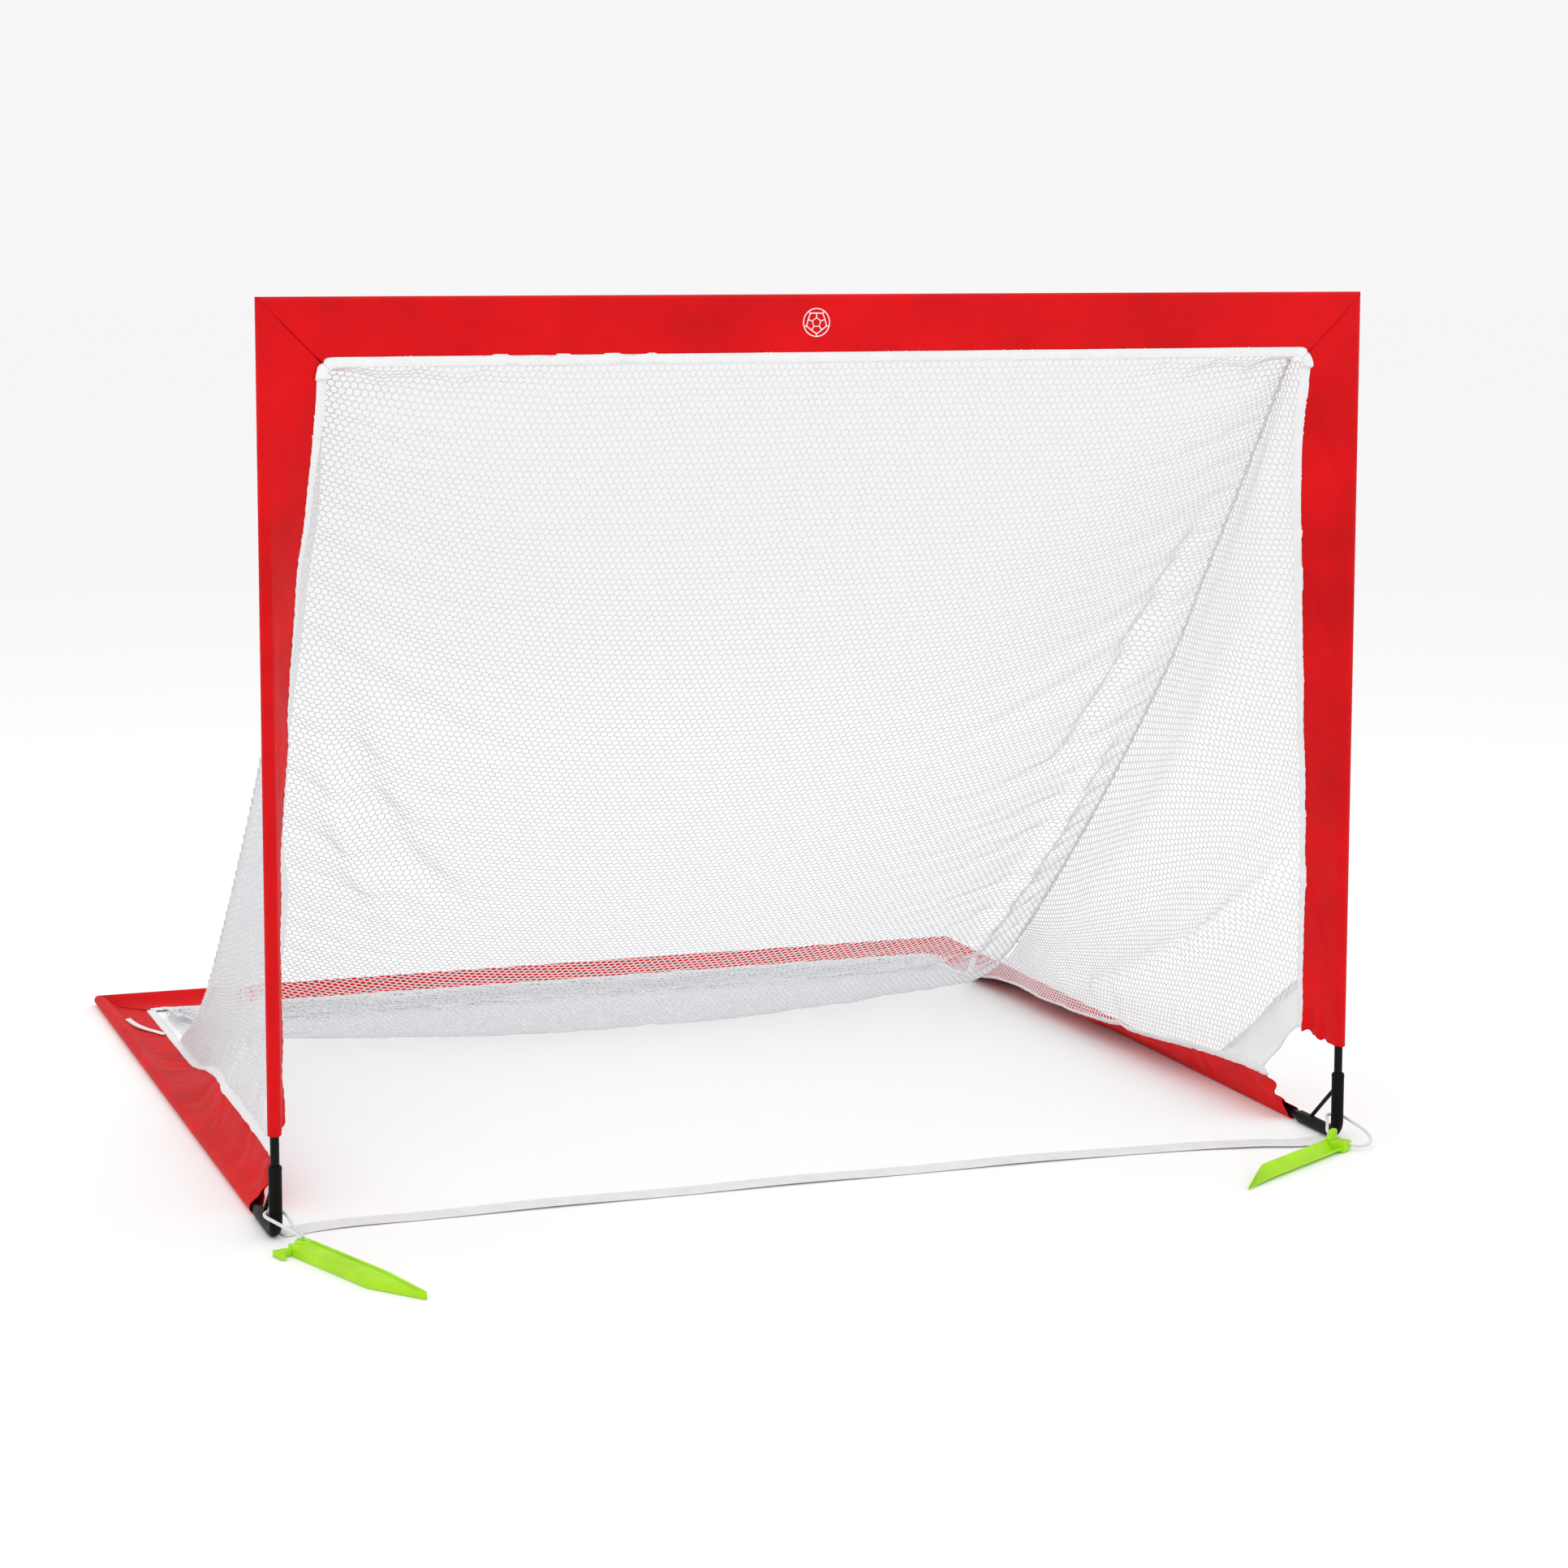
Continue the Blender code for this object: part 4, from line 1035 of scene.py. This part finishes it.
def distance_to(line, y, z):
    """Distance of points from a smooth line in a net's plane, and how far along it they lie, from 0 to 1."""
    path = curve_through([(a, b, 0.0) for a, b in line], 60)[:, :2]
    flat = np.stack([y.ravel(), z.ravel()], axis=1)
    gap = np.linalg.norm(flat[:, None] - path[None], axis=2)
    return gap.min(axis=1).reshape(y.shape), (gap.argmin(axis=1) / 59).reshape(y.shape)


def fold_height(folds, y, z):
    """How far a table of folds stands out at points of a net's plane."""
    height = np.zeros(y.shape)
    for line, width, tall in folds:
        gap, along = distance_to(line, y, z)
        height += tall * np.exp(-(gap / width) ** 2 / 2) * np.sin(math.pi * (0.1 + 0.8 * along))
    return height


def back_fold_height(flat):
    """How far the folds stand out of the back net at flat points of it."""
    x = flat[:, 0] - SEAM_X
    edge = ease(SEAM_X - np.abs(x), 0.0, 0.05)
    return (edge * fold_height(BACK_FOLDS, x, flat[:, 1]))[:, None]


def back_net():
    grid = back_start()
    rows, columns = grid.shape[:2]
    row_length = length_of(grid[:, 0]) / (rows - 1)
    pinned = np.zeros((rows, columns), bool)
    pinned[0] = pinned[-1] = True
    pinned[:, 0] = pinned[:, -1] = True
    grid = settle(grid, pinned)
    width, depth = 2 * SEAM_X, row_length * (rows - 1)
    starts, ends = hexagons((0.0, 0.0), (width, depth))
    size = (width, depth)
    inside = ((starts > 0) & (starts < size) & (ends > 0) & (ends < size)).all(axis=1)
    starts, ends = starts[inside], ends[inside]
    normal_grid = unit(np.cross(np.gradient(grid, axis=1), np.gradient(grid, axis=0)))

    def read(source, flat):
        return bilinear(source, flat[:, 1] / row_length, flat[:, 0] / width * (columns - 1))

    n = unit(read(normal_grid, (starts + ends) / 2))
    a = read(grid, starts) + back_fold_height(starts) * unit(read(normal_grid, starts))
    b = read(grid, ends) + back_fold_height(ends) * unit(read(normal_grid, ends))
    edges = np.linspace(0, depth, len(BACK_STRIPS) + 1)
    middle = (starts[:, 1] + ends[:, 1]) / 2
    for k, word in enumerate(BACK_STRIPS):
        chosen = (middle >= edges[k]) & (middle < edges[k + 1])
        made = strands(f"back_net_{word}", a[chosen], b[chosen], n[chosen])
        if k == 0:
            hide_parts("back_net")


# The gusset's upper corners: its height on the upright and its distance along the base
FRONT_LOW, HEM_NEAR = 0.165, 0.205
SIDE_FOLDS = {
    # (y, z) lines with the fold's half width and height; the height is towards the inside of the goal
    RIGHT: ((((0.03, 0.366), (0.104, 0.288), (0.224, 0.208), (0.351, 0.144), (0.511, 0.081)), 0.011, 0.015),
            (((0.06, 0.44), (0.15, 0.35), (0.27, 0.27), (0.42, 0.17), (0.60, 0.10)), 0.020, -0.010),
            (((0.05, 0.66), (0.14, 0.55), (0.24, 0.43), (0.36, 0.31), (0.52, 0.20)), 0.024, 0.012),
            (((0.20, 0.24), (0.32, 0.155), (0.46, 0.105), (0.60, 0.075)), 0.009, -0.008)),
    LEFT: ((((0.03, 0.45), (0.12, 0.33), (0.28, 0.22), (0.48, 0.13)), 0.018, 0.010),
           (((0.05, 0.62), (0.15, 0.48), (0.27, 0.36), (0.42, 0.25)), 0.022, -0.010),
           (((0.06, 0.24), (0.25, 0.15), (0.45, 0.09), (0.68, 0.05)), 0.010, 0.007)),
}


class SidePanel:
    """A side net over the (y, z) plane: its outline, and how far out it lies."""

    def __init__(self, side, word):
        self.side = side
        z = np.linspace(FRONT_LOW - 0.06, SEAM_TOP, 120)
        self.front = binding_edge(f"{word}_upright", z)
        self.seam = seam_line(side, 240)[::-1]
        y = np.linspace(BASE_HEM + 0.03, SIDE_FOOT, 120)
        self.hem = binding_edge(f"{word}_base", y)

    def front_y(self, z):
        return np.interp(z, self.front[:, 2], self.front[:, 1])

    def seam_y(self, z):
        return np.interp(z, self.seam[:, 2], self.seam[:, 1])

    def hem_z(self, y):
        return np.interp(y, self.hem[:, 1], self.hem[:, 2])

    def inside(self, flat):
        y, z = flat[:, 0], flat[:, 1]
        a, b = self.corner()
        cut = (b[0] - a[0]) * (z - a[1]) - (b[1] - a[1]) * (y - a[0]) > 0
        return (y > self.front_y(z)) & (y < self.seam_y(z)) & (z > self.hem_z(y)) & (z < SEAM_TOP) & cut

    def corner(self):
        """The gusset's upper edge, from the upright to the base, as (y, z) points."""
        high = (float(self.front_y(FRONT_LOW)), FRONT_LOW)
        return high, (HEM_NEAR, float(self.hem_z(HEM_NEAR)))

    def outward(self, y, z):
        """Where the net lies across the goal, bowed inwards and folded."""
        front_x = np.interp(z, self.front[:, 2], self.front[:, 0])
        seam_x = np.interp(z, self.seam[:, 2], self.seam[:, 0])
        share = np.clip((y - self.front_y(z)) / np.maximum(self.seam_y(z) - self.front_y(z), 1e-4), 0, 1)
        x = front_x + (seam_x - front_x) * share
        low = 1 - ease(z - self.hem_z(y), 0.0, 0.16)
        hem_x = np.interp(y, self.hem[:, 1], self.hem[:, 0])
        x = x + low * (hem_x - x)
        edge = ease(y - self.front_y(z), 0.0, 0.05) * ease(self.seam_y(z) - y, 0.0, 0.05)
        edge = edge * ease(z - self.hem_z(y), 0.0, 0.05)
        bow = 0.012 * np.sin(math.pi * share)
        return x - self.side * edge * (bow + fold_height(SIDE_FOLDS[self.side], y, z))

    def drawn(self, flat):
        """Moves the pattern of holes, which is pulled flat towards the seam's foot."""
        y, z = flat[:, 0], flat[:, 1]
        reach = ease(y, 0.12, 0.80)
        press = 1 - 0.55 * reach * (1 - ease(z, 0.20, 0.55))
        z = 0.012 + (z - 0.012) * press
        for line, width, height in SIDE_FOLDS[self.side]:
            gap, _ = distance_to(line, y, z)
            z = z + 0.25 * abs(height) * np.exp(-(gap / width) ** 2 / 2)
        return np.stack([y, z], axis=1)

    def place(self, flat):
        return np.column_stack([self.outward(flat[:, 0], flat[:, 1]), flat[:, 0], flat[:, 1]])


def clip_ends(panel, starts, ends):
    """Cuts strands that cross the outline at the outline, and drops those outside it."""
    a, b = panel.inside(starts), panel.inside(ends)
    starts, ends, a, b = starts[a | b], ends[a | b], a[a | b], b[a | b]
    turned = ~a
    starts[turned], ends[turned] = ends[turned].copy(), starts[turned].copy()
    crossing = ~(a & b)
    low, high = np.zeros(crossing.sum()), np.ones(crossing.sum())
    for _ in range(10):
        middle = (low + high) / 2
        at = starts[crossing] + middle[:, None] * (ends[crossing] - starts[crossing])
        good = panel.inside(at)
        low, high = np.where(good, middle, low), np.where(good, high, middle)
    ends[crossing] = starts[crossing] + high[:, None] * (ends[crossing] - starts[crossing])
    keep = np.linalg.norm(ends - starts, axis=1) > 0.0006
    return starts[keep], ends[keep]


def area_inside(panel, step=0.004):
    y, z = np.meshgrid(np.arange(0.0, 1.0, step), np.arange(0.0, 0.9, step))
    return float(panel.inside(np.stack([y.ravel(), z.ravel()], axis=1)).sum()) * step ** 2


def side_net(side, word):
    panel = SidePanel(side, word)
    starts, ends = hexagons((-0.02, -0.02), (0.96, 1.60))
    starts, ends = panel.drawn(starts), panel.drawn(ends)
    starts, ends = clip_ends(panel, starts, ends)
    a, b = panel.place(starts), panel.place(ends)
    middle, step = (starts + ends) / 2, 0.002
    dy = panel.place(middle + (step, 0)) - panel.place(middle - (step, 0))
    dz = panel.place(middle + (0, step)) - panel.place(middle - (0, step))
    made = strands(f"{word}_side_net_mesh", a, b, unit(np.cross(dy, dz)))
    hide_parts(f"{word}_side_net")
    max(area_inside(panel), 0.3 * SIDE_FLAT[0] * SIDE_FLAT[1])
    return panel


def net_seam(side, word):
    """The gathered seam between the back and side nets, thick and thin along its length."""
    line = seam_line(side, 900)
    run = np.linspace(0, length_of(line), len(line))
    size = 0.0018 * (1 + 0.35 * np.sin(run * 700) + 0.2 * np.sin(run * 1130 + 1))
    wander = np.stack([0.0008 * np.sin(run * 350), 0 * run, 0.0006 * np.sin(run * 230 + 2)], axis=1)
    line = line + wander
    above_floor(line, 0.003)
    points, faces, uv = swept(line, round_section(1.0, 8), UP, size)
    made = piece(f"{word}_net_seam", points, faces, LOOKS["seam"], uv)
    bend(made)


GUSSET_ROWS, GUSSET_COLUMNS = 14, 22
GUSSET_LOW, GUSSET_FRONT = 0.122, 0.118


def along_edge(edge, at, axis):
    """Points of a panel's edge, read where one of its coordinates has the given values."""
    return np.stack([np.interp(at, edge[:, axis], edge[:, k]) for k in range(3)], axis=1)


def gusset(panel, side, word):
    """Plain white cloth between the upright's hem and the base's, with an elastic in its free edge."""
    high, back = panel.corner()
    rows, columns = GUSSET_ROWS, GUSSET_COLUMNS
    upright = np.array([(panel.front_y(z), z) for z in np.linspace(high[1] + 0.012, GUSSET_LOW, rows)])
    base = np.array([(y, panel.hem_z(y)) for y in np.linspace(back[0] + 0.012, GUSSET_FRONT, rows)])
    shares = np.linspace(0, 1, columns)
    flat = upright[:, None] + shares[None, :, None] * (base - upright)[:, None]
    dip = 0.003 * np.sin(math.pi * shares) * np.linspace(0, 1, rows)[:, None] ** 2
    flat = flat + dip[..., None] * np.array((0.7, 0.7))
    up_edge = along_edge(panel.front, upright[:, 1], 2)
    base_edge = along_edge(panel.hem, base[:, 0], 1)
    x = up_edge[:, :1] + (base_edge[:, :1] - up_edge[:, :1]) * shares
    x = x - side * 0.004 * np.sin(math.pi * shares) * np.sin(6 * shares + 1.0)
    grid = np.concatenate([x[..., None], flat], axis=2)
    uv = np.stack(np.meshgrid(np.linspace(0, 0.05, rows), np.linspace(0, 0.15, columns), indexing="ij"), -1)
    made = piece(f"{word}_corner_patch", grid.reshape(-1, 3), grid_faces(rows, columns), LOOKS["gusset"],
                 uv.reshape(-1, 2))
    thick = made.modifiers.new("cloth", "SOLIDIFY")
    thick.thickness, thick.offset = 0.0008, 0.0
    bpy.context.view_layer.objects.active = made
    made.select_set(True)
    bpy.ops.object.modifier_apply(modifier=thick.name)
    made.select_set(False)
    bend(made)
    placed_in(made, f"{word}_gusset")
    edge = evenly(grid[-1], 60)
    points, faces, uv = swept(edge, round_section(0.0011, 10), UP)
    elastic = piece(f"{word}_patch_elastic", points, faces, LOOKS["cord"], uv)
    bend(elastic)
    placed_in(elastic, f"{word}_gusset_elastic")


TAB_ROUTE = ((0.560, 0.948, 0.0032), (0.568, 0.965, 0.0034), (0.578, 0.984, 0.0038),
             (0.588, 1.003, 0.0060), (0.596, 1.017, 0.0110))
TAB_HALF_WIDTH, TAB_HALF_THICKNESS = 0.0044, 0.0007


def rear_tab(side, word):
    line = curve_through([(side * x, y, z) for x, y, z in TAB_ROUTE], 40)
    points, faces, uv = swept(line, soft_bar(TAB_HALF_WIDTH, TAB_HALF_THICKNESS), UP)
    made = piece(f"{word}_webbing_tab", points, faces, LOOKS["webbing"], uv)
    placed_in(made, f"{word}_rear_tab", "base")


def net_bag():
    back_net()
    for side, word in SIDES:
        panel = side_net(side, word)
        net_seam(side, word)
        gusset(panel, side, word)
        rear_tab(side, word)


# ---------------------------------------------------------------- feet, poles and the print


FOOT_RADIUS, FOOT_BORE, FOOT_BEND, FOOT_SIDES = 0.0070, 0.00508, 0.016, 28
FOOT_TOP = (0.078, 0.0775, 0.0768, 0.060, 0.040)
FOOT_REAR = (0.045, 0.066, 0.0845, 0.0855, 0.086)
# Heights along the upright socket and radii of the raised band near its mouth
COLLAR = ((0.0729, 0.0735, 0.0755, 0.0761), (0.0069, 0.0073, 0.0073, 0.0069))
BRACE_ENDS = ((0.0050, 0.0595), (0.0610, BASE_Z + 0.0050))


def foot(side, word):
    """A bent socket for two poles, with a thin brace across its corner."""
    x = side * HALF_WIDTH
    turns = np.linspace(0, math.pi / 2, 12)
    arc = [(x, FOOT_BEND * (1 - math.cos(a)), BASE_Z + FOOT_BEND * (1 - math.sin(a))) for a in turns]
    path = np.array([*((x, 0, z) for z in FOOT_TOP), *arc, *((x, y, BASE_Z) for y in FOOT_REAR)])
    size = np.full(len(path), FOOT_RADIUS)
    size[[0, -1]] = FOOT_RADIUS - 0.0008
    size[[1, -2]] = FOOT_RADIUS - 0.0003
    across, circle = (1, 0, 0), round_section(1.0, FOOT_SIDES)
    bore = round_section(FOOT_BORE, FOOT_SIDES)
    body = swept(path, circle, across, size, caps=False)
    bore_top = swept(path[:4], bore, across, caps=False)
    bore_end = swept(path[-4:], bore, across, caps=False)
    rings = body[0].reshape(-1, FOOT_SIDES, 3)
    faces = grid_faces(2, FOOT_SIDES, wrap=True)
    lips = [(np.vstack([rings[0], bore_top[0][:FOOT_SIDES]]), [f[::-1] for f in faces], None),
            (np.vstack([rings[-1], bore_end[0][-FOOT_SIDES:]]), faces, None)]
    ends = [np.array((x, y, z)) for y, z in BRACE_ENDS]
    brace = swept(np.linspace(*ends, 8), soft_bar(0.0018, 0.0023), across)
    collar = swept(np.array([(x, 0, z) for z in COLLAR[0]]), circle, across, COLLAR[1])
    points, faces, uv = join([body, bore_top, bore_end, *lips, brace, collar])
    made = piece(f"{word}_foot_moulding", points, faces, LOOKS["black"], uv, sharp=40)
    placed_in(made, f"{word}_front_foot", "base")


KEPT_LOOKS = (("pole", "pole"), ("ferrule", "steel"), ("corner", "black"), ("shock_cord", "cord"))


def kept_parts():
    """The plain hard pieces that stay as they are, with a finer finish."""
    for name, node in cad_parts.items():
        for ending, look in KEPT_LOOKS:
            if name.endswith(ending):
                node.data.materials.clear()
                node.data.materials.append(LOOKS[look])


MARK_Z, MARK_LINE = 0.9300, 0.0011
MARK_RADIUS, MARK_INNER, MARK_MIDDLE, MARK_OUTER = 0.0145, 0.0050, 0.0098, 0.0118


def ball_mark():
    """A plain outline of a ball printed in the middle of the crossbar."""
    centre = np.array((MARK_AT - HALF_WIDTH, 0.0, MARK_Z))
    pent = np.array([(math.sin(a), math.cos(a)) for a in np.radians(np.arange(0, 360, 72))])
    ring = np.array([(math.cos(a), math.sin(a)) for a in np.linspace(0, 2 * math.pi, 64)])
    strokes = [MARK_RADIUS * ring, MARK_INNER * np.vstack([pent, pent[:1]])]
    strokes += [np.array((MARK_INNER * a, MARK_MIDDLE * a)) for a in pent]
    for a, b in zip(pent, np.roll(pent, -1, axis=0)):
        middle = (a + b) / np.linalg.norm(a + b)
        strokes.append(np.array((MARK_MIDDLE * a, MARK_OUTER * middle, MARK_MIDDLE * b)))
        strokes.append(np.array((MARK_OUTER * middle, MARK_RADIUS * middle)))
    parts = []
    for flat in strokes:
        line = centre + np.column_stack([flat[:, 0], np.full(len(flat), -CHANNEL - 0.00012), flat[:, 1]])
        if len(line) < 4:
            line = evenly(line, 4 * len(line))
        parts.append(swept(line, soft_bar(MARK_LINE / 2, 0.00010, 8), (0, -1, 0)))
    points, faces, uv = join(parts)
    made = piece("ball_mark_print", points, faces, LOOKS["print"], uv)
    placed_in(made, body="portal")


camera_and_light()
floor()
stake_cords()
ground_strap()
covers()
net_bag()
for foot_side, foot_word in SIDES:
    foot(foot_side, foot_word)
kept_parts()
ball_mark()
